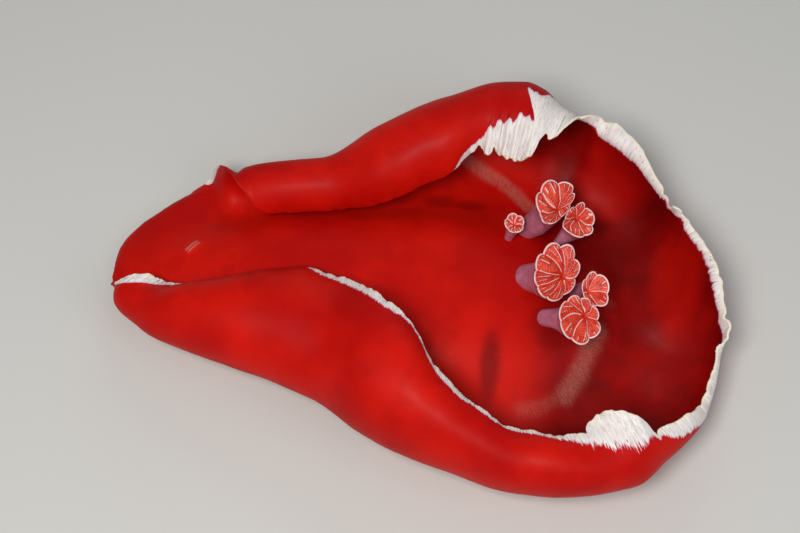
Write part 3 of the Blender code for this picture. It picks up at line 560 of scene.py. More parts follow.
def mantle_middle(bearings, shares):
    """The mantle's middle surface: one row for each bearing, from the root (share 0) to the rim."""
    steps = np.linspace(0, 1.2, 241)
    start, curl, tuck = np.radians(columns("start curl tuck", bearings))
    bias, reach, ruffle = columns("bias reach ruffle", bearings)
    turn, length = columns("angle length", bearings, RIM_TURNS)
    plain = start + (curl - start) * np.minimum(steps, 1.0) ** bias
    plain = plain + tuck * ease((steps - TUCK_START) / (1 - TUCK_START))
    length = length / 1000 / reach
    angle = plain + np.radians(turn) * ease((steps - 1 + length) / length)
    plain_out, plain_up = profile(plain, steps, reach)
    out, up = profile(angle, steps, reach)
    rim = np.argmin(np.abs(steps - 1))
    drawn = ease((steps - TURN_START) / (1 - TURN_START))
    out = out + (plain_out - out)[:, rim, None] * drawn
    up = up + (plain_up - up)[:, rim, None] * drawn
    shares = np.broadcast_to(shares, (len(out), np.shape(shares)[-1]))
    out, up, lean = (
        np.stack([np.interp(s, steps, row) for s, row in zip(shares, values)])
        for values in (out, up, angle)
    )
    wave = ruffle * ruffle_wave(bearings)[:, None] * shares**6
    wave = wave + fold_depth(bearings, shares) + crimp(bearings, shares)
    out = out - np.sin(lean) * wave
    up = up + np.cos(lean) * wave
    edge, outward = back_edge(bearings)
    plan = edge[:, None, :] + outward[:, None, :] * out[:, :, None]
    height = root_height(bearings)[:, None] + up
    return np.concatenate([plan, height[:, :, None]], -1)


def mantle_sheet(bearings, shares):
    """The mantle's middle surface, its upward normals, its half thickness and the ways to its rim."""
    shares = np.broadcast_to(shares, (len(bearings), np.shape(shares)[-1]))
    shares = with_lobes(bearings, shares)
    middle = mantle_middle(bearings, shares)
    along = np.roll(middle, -1, 0) - np.roll(middle, 1, 0)
    across = np.gradient(middle, axis=1)
    normal = unit(np.cross(across, along))
    blend = ease(shares / 0.12)[:, :, None]
    normal = unit(normal * blend + UP * (1 - blend))
    thick = ROOT_THICKNESS + (RIM_THICKNESS - ROOT_THICKNESS) * np.minimum(shares, 1) ** THINNING
    return middle, normal, thick / 2, unit(across)


def unit(vector):
    """A vector, or a row of vectors, of length 1."""
    return vector / np.maximum(np.linalg.norm(vector, axis=-1, keepdims=True), 1e-12)


def level_ring(bearings, scale_x, scale_y, heights):
    """A ring of points at a scale of the back's edge and at these heights."""
    edge, _ = back_edge(bearings, scale_x, scale_y)
    heights = np.broadcast_to(heights, (len(bearings),))
    return np.concatenate([edge, heights[:, None]], -1)


def even_run(rings, steps):
    """Rings filled in between with smooth curves through them."""
    rings = np.array(rings)
    count = len(rings)
    padded = np.concatenate([2 * rings[:1] - rings[1:2], rings, 2 * rings[-1:] - rings[-2:-1]])
    made = []
    for index in range(count - 1):
        a, b, c, d = padded[index : index + 4]
        bow = 2 * a - 5 * b + 4 * c - d
        twist = 3 * b - a - 3 * c + d
        for t in np.arange(steps) / steps:
            made.append(0.5 * (2 * b + (c - a) * t + bow * t * t + twist * t**3))
    made.append(rings[-1])
    return made


def new_object(name, points, faces, attributes, material):
    """A smooth mesh object with these point attributes."""
    mesh = bpy.data.meshes.new(name)
    mesh.vertices.add(len(points))
    mesh.vertices.foreach_set("co", np.asarray(points, np.float32).ravel())
    sizes = np.array([len(face) for face in faces])
    flat = np.concatenate(faces)
    mesh.loops.add(len(flat))
    mesh.loops.foreach_set("vertex_index", flat.astype(np.int32))
    mesh.polygons.add(len(sizes))
    starts = np.concatenate([[0], np.cumsum(sizes)[:-1]])
    mesh.polygons.foreach_set("loop_start", starts.astype(np.int32))
    mesh.update(calc_edges=True)
    mesh.validate()
    mesh.shade_smooth()
    for key, values in attributes.items():
        values = np.asarray(values, np.float32)
        kind, field = ("FLOAT_VECTOR", "vector") if values.ndim == 2 else ("FLOAT", "value")
        layer = mesh.attributes.new(key, kind, "POINT")
        layer.data.foreach_set(field, values.ravel())
    mesh.materials.append(material)
    made = bpy.data.objects.new(name, mesh)
    bpy.context.scene.collection.objects.link(made)
    return made


def closed_grid(name, grid, start, end, attributes, material):
    """A closed body of rings of points, capped by a middle point at each end.

    The grid's first axis runs along the profile, its second round each ring.
    """
    rows, count = grid.shape[:2]
    here = np.arange(count)
    after = np.roll(here, -1)
    points = np.concatenate([grid.reshape(-1, 3), [start], [end]])
    first, last = rows * count, rows * count + 1
    faces = []
    for row in range(rows - 1):
        base, above = row * count, (row + 1) * count
        faces.append(np.stack([base + here, above + here, above + after, base + after], -1))
    quads = np.concatenate(faces)
    top = np.stack([after, np.full(count, first), here], -1)
    base = (rows - 1) * count
    bottom = np.stack([base + here, np.full(count, last), base + after], -1)
    ends = {}
    for key, values in attributes.items():
        by_point = values.reshape(-1, *values.shape[2:])
        ends[key] = np.concatenate([by_point, values[0, :1], values[-1, :1]])
    return new_object(name, points, [*quads, *top, *bottom], ends, material)


def sealed_rows(name, rows, attributes, material):
    """A closed body whose rings are the rows, each end sealed at the row's middle."""
    return closed_grid(name, rows, rows[0].mean(0), rows[-1].mean(0), attributes, material)


def settle(made, slot, *replaced):
    """Gives a piece its body and hides the nodes of the part that it replaces. The slot is not used.
    """
    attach(made, "root")
    if replaced:
        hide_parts(*replaced)


def line_distance(plan, points):
    """Distance in plan from each place to a line through points."""
    best = np.full(plan.shape[:-1], 1.0)
    for a, b in zip(points[:-1], points[1:]):
        a, b = np.array(a), np.array(b)
        share = np.clip(((plan - a) @ (b - a)) / ((b - a) @ (b - a)), 0, 1)
        near = a + share[..., None] * (b - a)
        best = np.minimum(best, np.linalg.norm(plan - near, axis=-1))
    return best


def patch_strength(plan, patches, spread):
    """How strongly soft oval patches show at places in plan."""
    total = np.zeros(plan.shape[:2])
    for centre, radii, strength in patches:
        away = np.linalg.norm((plan - np.array(centre)) / np.array(radii), axis=-1)
        total = np.maximum(total, strength * ease(spread - away))
    return total


def dome(bearings, share, high):
    """Height of the back at a share of the way to its edge, where it is this high."""
    tailward = (1 + np.cos(np.radians(bearings))) / 2
    return high + (BACK_TOP - high) * (1 - share ** (DOME_POWER + DOME_POWER_GAIN * tailward))


def build_skin(nodes, material):
    """The animal's whole skin in one closed surface, and the grid of its back."""
    bearings = np.arange(SKIN_BEARINGS) * 360 / SKIN_BEARINGS
    tailward = (1 + np.cos(np.radians(bearings))) / 2
    low = root_height(bearings) - ROOT_THICKNESS / 2
    high = low + ROOT_THICKNESS

    back = []
    for share in np.linspace(BACK_FROM, BACK_TO, BACK_STEPS):
        back.append(level_ring(bearings, share, share, dome(bearings, share, high)))

    upper_shares = 1 - (1 - np.linspace(0, 1, UPPER_STEPS)) ** RIM_CROWDING
    lower_shares = 1 - (1 - np.linspace(0, 1, LOWER_STEPS)) ** RIM_CROWDING
    middle, normal, half, _ = mantle_sheet(bearings, upper_shares[None, :])
    upper = np.swapaxes(middle + normal * half[..., None], 0, 1)
    middle, normal, half, across = mantle_sheet(bearings, lower_shares[None, :])
    lower = np.swapaxes(middle - normal * half[..., None], 0, 1)[::-1]
    cap = []
    for turn in np.linspace(0, math.pi, CAP_STEPS + 2)[1:-1]:
        out = across[:, -1] * math.sin(turn) + normal[:, -1] * math.cos(turn)
        cap.append(middle[:, -1] + out * half[:, -1, None])

    length = FOOT_FRONT + (FOOT_REAR - FOOT_FRONT) * tailward
    side = even_run(
        [
            lower[-1],
            level_ring(bearings, 0.97, 0.9, FOOT_TOP + (low - FOOT_TOP) * 0.55),
            level_ring(bearings, 0.92, 0.76, FOOT_TOP + (low - FOOT_TOP) * 0.18),
            level_ring(bearings, length * 0.94, FOOT_WIDTH * 0.96, 0.0052),
            level_ring(bearings, length, FOOT_WIDTH, 0.0032),
            level_ring(bearings, length, FOOT_WIDTH, 0.0018),
            level_ring(bearings, length * 0.95, FOOT_WIDTH * 0.95, 0.0),
        ],
        SIDE_STEPS,
    )[1:]
    side = [np.concatenate([ring[:, :2], np.maximum(ring[:, 2:], 0.0)], 1) for ring in side]
    sole = [level_ring(bearings, length * share, FOOT_WIDTH * share, 0.0) for share in (0.7, 0.4, 0.1)]
    grid = np.array([*back, *upper, *cap, *lower, *side, *sole])

    parts = [len(back), len(upper), len(cap), len(lower), len(side) + len(sole)]
    edges = np.cumsum(parts)
    near_root = np.zeros(len(grid))
    for place in (edges[0], edges[3]):
        away = np.abs(np.arange(len(grid)) - place + 0.5) / ROOT_WINDOW
        near_root = np.maximum(near_root, ease(1.2 - away))
    for _ in range(ROOT_SMOOTHING):
        mean = (np.roll(grid, 1, 0) + 2 * grid + np.roll(grid, -1, 0)) / 4
        grid = grid + (mean - grid) * near_root[:, None, None]

    reach = keyed("reach", bearings)
    no_shares = np.zeros(parts[0]), np.zeros(parts[4])
    shares = [no_shares[0], upper_shares, np.ones(parts[2]), lower_shares[::-1], no_shares[1]]
    shares = np.broadcast_to(np.concatenate(shares), (len(bearings), len(grid)))
    shares = with_lobes(bearings, shares).T
    tip = with_lobes(bearings, np.ones((len(bearings), 1))).T
    from_rim = (tip - shares) * reach * 1000
    rows = np.arange(len(grid))[:, None]
    from_rim = np.where((rows >= edges[0]) & (rows < edges[3]), from_rim, FAR_FROM_RIM)
    rim_row = edges[1] + parts[2] // 2
    is_upper = np.broadcast_to((rows < rim_row) * 1.0, from_rim.shape)

    rim = grid[rim_row]
    run = np.linalg.norm(np.roll(rim, -1, 0) - rim, axis=-1)
    travel = np.concatenate([[0], np.cumsum(run)[:-1]]) / run.sum() * 2 * math.pi
    round_radius = run.sum() * 1000 / (2 * math.pi)
    around = np.stack([np.cos(travel) * round_radius, np.sin(travel) * round_radius, 0 * travel], -1)
    around = np.broadcast_to(around[None], grid.shape).copy()
    around[..., 2] = from_rim

    plan = grid[..., :2]
    pale = np.zeros(grid.shape[:2])
    for points, width, strength in PALE_BANDS:
        pale = np.maximum(pale, strength * np.exp(-((line_distance(plan, points) / width) ** 2)))
    # Dark marks of the skin, and painted shadows under a gill and under the right side's roll.
    dark_and_shadow = patch_strength(plan, DARK_MARKS_AND_SHADOWS, 1.6)
    # Painted light: patches of the bowl's rear wall kept bright where its folds catch the light.
    bright = patch_strength(plan, PAINTED_LIGHT_PATCHES, 1.8)
    low_enough = ease((MARKS_BELOW - grid[..., 2]) / MARKS_FADE)
    # Painted shade: the upper face behind the gills is darkened, partly for the bowl's own darker tone
    # and partly for the shade in its hollow.
    deep_and_shade = ease((plan[..., 0] - DEEP_AND_SHADE_FROM_X) / DEEP_AND_SHADE_BLEND) * is_upper * (1 - bright)
    line = LOBE_LINE[0] + LOBE_SLANT * (plan[..., 1] - LOBE_LINE[1])
    low_bearing, high_bearing = LOBE_BEARINGS
    in_lobe = ease((plan[..., 0] - line) / 0.002) * (1 - is_upper)
    in_lobe = in_lobe * ((bearings > low_bearing) & (bearings < high_bearing))[None, :]
    band = keyed("width", bearings, WHITE_KEYS) + lobe_length(bearings) * 1000
    band = np.broadcast_to(band, grid.shape[:2])
    band = band + (np.maximum(LOBE_WHITE, band) - band) * in_lobe
    attributes = {
        "from_rim": from_rim,
        "band": band,
        "teeth": np.broadcast_to(keyed("teeth", bearings, WHITE_KEYS), grid.shape[:2]),
        "around": around,
        "pale": pale * is_upper * low_enough,
        "dark_and_shadow": dark_and_shadow * is_upper * low_enough,
        "deep_and_shade": deep_and_shade,
    }
    start = grid[0].mean(0) + np.array([0, 0, 0.0002])
    end = np.array([grid[-1, :, 0].mean(), grid[-1, :, 1].mean(), 0.0])
    made = closed_grid("skin", grid, start, end, attributes, material)
    settle(made, "red_skin", *nodes)
    return grid[: edges[0]]


def back_place(x, y):
    """The bearing and the share of the back's edge of a place in plan."""
    dx = (x - BACK_CENTRE_X) / BACK_HALF_LENGTH
    dy = (y - midline(x)) / BACK_HALF_WIDTH
    bearing = np.arctan2(dy, dx)
    for _ in range(30):
        wide = 1 + BACK_EGG * np.cos(bearing)
        bearing = np.arctan2(dy / wide, dx)
    return np.degrees(bearing), np.hypot(dx, dy / wide)


def back_height(x, y):
    """Height of the back above a place in plan."""
    bearing, share = back_place(x, y)
    return dome(bearing, np.minimum(share, 1.0), root_height(bearing) + ROOT_THICKNESS / 2)


def skin_height(back, x, y):
    """Height of the finished skin above places in plan, from the grid of its back."""
    bearing, share = back_place(x, y)
    shares = np.linspace(BACK_FROM, BACK_TO, BACK_STEPS)
    ring = np.clip(np.interp(share, shares, np.arange(BACK_STEPS)), 0, BACK_STEPS - 1.001)
    column = np.mod(bearing, 360) / 360 * SKIN_BEARINGS
    low_ring = np.floor(ring).astype(int)
    low_column = np.floor(column).astype(int) % SKIN_BEARINGS
    next_column = (low_column + 1) % SKIN_BEARINGS
    t, s = ring - low_ring, column - np.floor(column)
    heights = back[..., 2]
    near = heights[low_ring, low_column] * (1 - s) + heights[low_ring, next_column] * s
    far = heights[low_ring + 1, low_column] * (1 - s) + heights[low_ring + 1, next_column] * s
    return near * (1 - t) + far * t


def kept_apart(points, gill):
    """The points of a gill drawn in wherever a neighbour's cup leaves them no room."""
    points = np.array(points, float)
    for other in GILLS:
        apart = np.array(other.cup) - np.array(gill.cup)
        distance = np.hypot(*apart)
        if other is gill or distance > GILL_SPREAD * (gill.radius + other.radius):
            continue
        room = distance * gill.radius / (gill.radius + other.radius) - GILL_CLEARANCE
        reach = GILL_SPREAD * gill.radius
        beyond = (points[..., :2] - np.array(gill.cup)) @ (apart / distance)
        drawn = np.where(beyond > 0, beyond * min(room / reach, 1.0), beyond)
        points[..., :2] += (drawn - beyond)[..., None] * (apart / distance)
    return points


def gill_frame(gill):
    """Where a gill is rooted, the floor of its cup, the cup's axis and two directions across it."""
    root = np.array([*gill.base, float(back_height(*gill.base)) - GILL_ROOT_DEPTH])
    floor = np.array([*gill.cup, gill.height])
    axis = unit(unit(floor - root) * CUP_LEAN + UP)
    side = unit(np.cross([0.0, 1.0, 0.0], axis))
    return root, floor, axis, side, np.cross(axis, side)


def scallop(gill, phase):
    """How far a petal stands out, from 0 in the clefts to 1 in its middle, by turns of the cup."""
    return np.abs(np.sin(math.pi * gill.petals * phase)) ** 0.6


def outward_at(frame, phase):
    """The direction out from a cup's axis, by turns round it."""
    angle = 2 * math.pi * phase[..., None]
    return np.cos(angle) * frame[3] + np.sin(angle) * frame[4] * CUP_STRETCH


def cup_inside(gill, frame, phase, depth, lift=0.0, bend=0.0):
    """The pleated inner face of a cup, from the rim at depth 0 to where its pleats meet at depth 1."""
    _, floor, axis, _, _ = frame
    petal = scallop(gill, phase + bend)
    radius = gill.radius
    width = radius * (RIM_WIDTH + RIM_SCALLOP * petal) - GILL_WALL
    height = radius * (RIM_LIFT + RIM_SCALLOP * petal)
    rim = floor + outward_at(frame, phase) * width[..., None] + axis * height[..., None]
    focus = floor + np.array([*gill.focus, 0.0]) + axis * radius * FOCUS_LIFT
    pad = radius * np.sin(math.pi * depth) * (PAD_RISE * petal - PAD_SAG) + lift
    depth = depth[..., None]
    return rim * (1 - depth) + focus * depth + axis * pad[..., None]


def cleft_distance(gill, phase, depth, shift=0.0):
    """Distance along a cup's face to its nearest cleft, in metres."""
    turns = phase * gill.petals + shift
    away = (turns - np.round(turns)) / gill.petals
    return away * 2 * math.pi * gill.radius * (1 - 0.9 * depth)


def uneven(gill, phase, seed):
    """Turns round a cup shifted so that its petals differ in width."""
    angle = 2 * math.pi * phase
    slow = PETAL_DRIFT * np.sin(angle + seed)
    return phase + slow + 0.5 * PETAL_DRIFT * np.sin(2 * angle + 2 * seed)


def window(depth, start, rise, end, fall):
    """1 between two depths of a cup, with smooth ends."""
    return ease((depth - start) / rise) * ease((end - depth) / fall)


def build_gill(gill, seed, material):
    """A gill: a stalk and a scalloped cup whose pleats carry thin white crests."""
    frame = gill_frame(gill)
    root, floor, axis, _, _ = frame
    count = gill.petals * PETAL_COLUMNS
    phase = np.arange(count) / count
    shifted = uneven(gill, phase, seed) - phase
    petal = scallop(gill, phase + shifted)[:, None]
    outward = outward_at(frame, phase)

    def noise(bumps, kind):
        """Noise round the cup, with this many bumps for each petal."""
        return ring_noise(phase * 360, gill.petals * bumps, kind + seed)[None, :]

    rings = []
    for up_stalk, lift, width in CUP_OUTSIDE:
        centre = root + (floor - root) * up_stalk
        grown = RIM_SCALLOP * petal * ease(lift / RIM_LIFT)
        rings.append(centre + gill.radius * (outward * (width + grown) + axis * (lift + grown)))
    outside = np.array(even_run(rings, OUTSIDE_STEPS))

    depth = (np.arange(INSIDE_STEPS) / (INSIDE_STEPS - 0.5))[:, None] * np.ones(count)
    around = phase[None, :] * np.ones((INSIDE_STEPS, 1))
    swirl = CREST_SWIRL * (1 if seed % 2 else -1)
    bend = shifted[None, :] + noise(2, 30) * np.sin(math.pi * depth) * CREST_BEND + swirl * depth
    long_arch = window(depth, 0.0, 0.06, LONG_REACH, 0.22)
    short_arch = window(depth, 0.01, 0.06, SHORT_REACH + 0.18 * noise(3, 50), 0.14)
    fork_arch = window(depth, 0.01, 0.06, FORK_REACH + 0.14 * noise(5, 90), 0.12)

    def crest_line(shift, width):
        """1 along lines that lie this share of a petal beside the clefts."""
        return np.exp(-((cleft_distance(gill, around + bend, depth, shift) / width) ** 2))

    long = crest_line(0.0, CREST_WIDTH)
    short = crest_line(0.5, CREST_WIDTH)
    fork = np.maximum(crest_line(0.25, 0.75 * CREST_WIDTH), crest_line(0.75, 0.75 * CREST_WIDTH))
    turns = (around + bend) * gill.petals
    from_crest = np.abs(turns - np.round(turns))
    rows = SIDE_ROWS * depth**0.8 + SIDE_SLANT * from_crest
    rows = rows + 0.35 * noise(7, 70)
    side = 0.5 + 0.5 * np.cos(2 * math.pi * rows)
    side_window = window(depth, 0.0, 0.05, LONG_REACH, 0.3) * ease(from_crest / 0.1)
    height = gill.radius * CREST_HEIGHT
    crests = long * long_arch + SHORT_SHARE * short * short_arch + FORK_SHARE * fork * fork_arch
    lift = height * crests + SIDE_HEIGHT * side * side_window
    inside = cup_inside(gill, frame, around, depth, lift, bend)
    inside = inside + np.array([*gill.focus, 0.0]) * (0.12 * np.sin(math.pi * depth))[..., None]

    rim = []
    for turn in np.arange(1, LIP_STEPS + 1) / (LIP_STEPS + 1):
        swelling = axis * math.sin(math.pi * turn) * GILL_WALL / 2
        rim.append(outside[-1] * (1 - turn) + inside[0] * turn + swelling)
    grid = kept_apart(np.concatenate([outside, rim, inside]), gill)
    middle = kept_apart(cup_inside(gill, frame, np.zeros(1), np.ones(1))[0], gill)

    before = len(outside)
    run = np.linalg.norm(np.diff(grid, axis=0), axis=-1)
    travel = np.concatenate([np.zeros((1, count)), np.cumsum(run, 0)])
    edge = np.maximum(travel[before - 1] - travel, travel - travel[before + LIP_STEPS])
    crest = np.exp(-((np.maximum(edge, 0) / LIP_LINE) ** 2))
    inner = crest[before + LIP_STEPS :]
    lines = np.maximum(long * long_arch, np.maximum(0.85 * short * short_arch, 0.7 * fork * fork_arch))
    crest[before + LIP_STEPS :] = np.maximum(inner, lines)
    fine = np.zeros(grid.shape[:2])
    fine[before + LIP_STEPS :] = side * side_window
    outer = np.zeros(grid.shape[:2])
    outer[:before] = 1.0
    cup = np.ones(grid.shape[:2])
    cup[:before] = ease((np.arange(before) / before - 0.6) / 0.4)[:, None]
    attributes = {"crest": crest, "fine": fine, "outer": outer, "cup": cup}
    made = closed_grid(f"{gill.name}_pleated", grid, root, middle, attributes, material)
    settle(made, "gill", gill.name)


def build_sheath(name, place, turn, back, material):
    """A drawn-in rhinophore's closed sheath: a low swelling of the skin with a pale slit."""
    along = np.linspace(-1.15, 1.15, 91)[:, None] * np.ones(61)
    across = np.linspace(-1.15, 1.15, 61)[None, :] * np.ones((91, 1))
    cos, sin = math.cos(math.radians(turn)), math.sin(math.radians(turn))
    u, v = along * SHEATH_RADII[0], across * SHEATH_RADII[1]
    x, y = place[0] + u * cos - v * sin, place[1] + u * sin + v * cos
    away = np.hypot(along, across)
    swell = np.clip(1 - away**2, 0, 1) ** 2
    inside_end = SLIT_HALF_LENGTH - np.abs(u)
    slit = np.exp(-((v / SLIT_HALF_WIDTH) ** 2)) * ease(inside_end / 0.0012)
    lips = np.exp(-(((np.abs(v) - LIP_OFFSET) / LIP_WIDTH) ** 2)) * ease(inside_end / 0.0016)
    height = skin_height(back, x, y) + SHEATH_RADII[2] * swell
    height = height - PATCH_SINK * ease((away - 0.95) / 0.15)
    height = height - SLIT_DEPTH * slit + LIP_RISE * lips
    top = np.stack([x, y, height], -1)
    rows = np.concatenate([top, top[:, ::-1] - UP * PATCH_DEPTH], 1)
    attributes = plain_skin(rows)
    attributes["slit"] = np.zeros(rows.shape[:2])
    attributes["slit"][:, : top.shape[1]] = np.maximum(slit * 0.2, lips * 0.75)
    settle(sealed_rows(name + "_skin", rows, attributes, material), "red_skin", name)


def plain_skin(rows):
    """The skin's attributes for a small part with no white rim."""
    return {"from_rim": np.full(rows.shape[:2], FAR_FROM_RIM)}


def build_oral_tentacle(side, name, material):
    """One flat lobe beside the mouth, which lies forward under the mantle's front."""
    mouth_y = float(midline(MOUTH_X))
    angle = np.linspace(0, 2 * math.pi, 40, endpoint=False)
    rows = []
    for t in np.linspace(0, 1, 44):
        heading = math.radians(side * (12 + 34 * t))
        x = MOUTH_X + 0.001 - TENTACLE_LENGTH * t * math.cos(heading * 0.7)
        y = mouth_y + side * 0.0085 + TENTACLE_LENGTH * t * math.sin(heading * 0.7)
        width = TENTACLE_WIDTH * (0.55 + 0.45 * math.sin(math.pi * min(t * 0.9 + 0.15, 1.0)))
        width = width * math.sqrt(max(1 - max((t - 0.82) / 0.18, 0) ** 2, 0.02))
        across = np.array([math.sin(heading), math.cos(heading), 0.0])
        height = 0.0072 - 0.004 * float(ease(t * 2.2))
        flat = np.cos(angle)
        row = np.array([x, y, height]) + flat[:, None] * across * width
        thick = TENTACLE_THICKNESS * (0.5 + 0.1 * math.sin(24 * t))
        row[:, 2] += 0.0006 * flat**2 + np.sin(angle) * thick
        rows.append(row)
    rows = np.array(rows)
    settle(sealed_rows(name + "_skin", rows, plain_skin(rows), material), "red_skin", name)


def build_lip(side, name, material):
    """One of the two lips of the mouth, under the head."""
    angle = np.linspace(0, 2 * math.pi, 40, endpoint=False)
    centre = np.array([MOUTH_X, float(midline(MOUTH_X)) + side * LIP_RADII[2], LIP_HEIGHT])
    rows = []
    for turn in np.linspace(0.05, math.pi - 0.05, 30):
        width = math.sin(turn) * (1 + 0.04 * np.cos(9 * turn))
        ring = np.stack([0 * angle + math.cos(turn), np.cos(angle) * width, np.sin(angle) * width], -1)
        rows.append(centre + ring * np.array(LIP_RADII))
    rows = np.array(rows)
    settle(sealed_rows(name, rows, plain_skin(rows), material), "red_skin")


def build_papilla(material):
    """The short ribbed tube of the anus, with a hollow in its top."""
    angle = np.linspace(0, 2 * math.pi, 64, endpoint=False)
    base = np.array([*ANUS, float(back_height(*ANUS))])
    ring = np.stack([np.cos(angle), np.sin(angle), 0 * angle], -1)
    rings = []
    for width, lift in PAPILLA_PROFILE:
        ribs = 1 + 0.05 * np.cos(PAPILLA_RIBS * angle) * float(ease(lift * 2))
        out = ring * (PAPILLA_RADIUS * width * ribs)[:, None]
        rings.append(base + out + UP * (PAPILLA_HEIGHT * lift))
    rows = np.array(even_run(rings, 4))
    piece = sealed_rows("anal_papilla_skin", rows, plain_skin(rows), material)
    settle(piece, "red_skin", "anal_papilla")


class Nodes:
    """A small helper that writes a material's node tree."""

    def __init__(self, name):
        self.material = bpy.data.materials.new(name)
        self.material.use_nodes = True
        self.tree = self.material.node_tree
        self.shader = self.tree.nodes["Principled BSDF"]

    def add(self, kind, settings=None, inputs=None):
        """Adds a node, with its settings and its inputs as values or as other nodes' outputs."""
        node = self.tree.nodes.new(kind)
        for key, value in (settings or {}).items():
            setattr(node, key, value)
        for key, value in (inputs or {}).items():
            self.set(node.inputs[key], value)
        return node

    def set(self, socket, value):
        """Gives a socket a value or a link."""
        if isinstance(value, bpy.types.NodeSocket):
            self.tree.links.new(value, socket)
        else:
            socket.default_value = value

    def attribute(self, name, output="Fac"):
        """A point attribute's output."""
        return self.add("ShaderNodeAttribute", {"attribute_name": name}).outputs[output]

    def maths(self, operation, first, second):
        """The output of a maths node."""
        node = self.add("ShaderNodeMath", {"operation": operation}, {0: first, 1: second})
        return node.outputs[0]

    def times(self, first, second):
        """One value times another."""
        return self.maths("MULTIPLY", first, second)

    def plus(self, first, second):
        """One value plus another."""
        return self.maths("ADD", first, second)

    def minus(self, first, second):
        """One value less another."""
        return self.maths("SUBTRACT", first, second)

    def mix(self, share, low, high):
        """A colour between two others."""
        colours = {"Factor": share, "A": colour(low), "B": colour(high)}
        return self.add("ShaderNodeMix", {"data_type": "RGBA"}, colours).outputs["Result"]

    def noise(self, place, scale, detail=2.0, roughness=0.5):
        """Soft noise at a place."""
        inputs = {"Scale": scale, "Detail": detail, "Roughness": roughness, "Vector": place}
        return self.add("ShaderNodeTexNoise", None, inputs).outputs["Fac"]

    def ramp(self, value, low, high):
        """A smooth rise from 0 at low to 1 at high."""
        inputs = {"Value": value, "From Min": low, "From Max": high}
        kind = {"interpolation_type": "SMOOTHSTEP"}
        return self.add("ShaderNodeMapRange", kind, inputs).outputs["Result"]

    def along(self, place, share):
        """A place with its third number made smaller, which draws a pattern out that way."""
        inputs = {0: place, 1: (1.0, 1.0, share)}
        return self.add("ShaderNodeVectorMath", {"operation": "MULTIPLY"}, inputs).outputs[0]

    def finish(self, inputs):
        """Gives the shader its inputs, and returns the material."""
        for name, value in inputs.items():
            self.set(self.shader.inputs[name], value)
        return self.material


def colour(value):
    """A colour with its alpha, or an output left as it is."""
    return (*value, 1.0) if isinstance(value, tuple) and len(value) == 3 else value


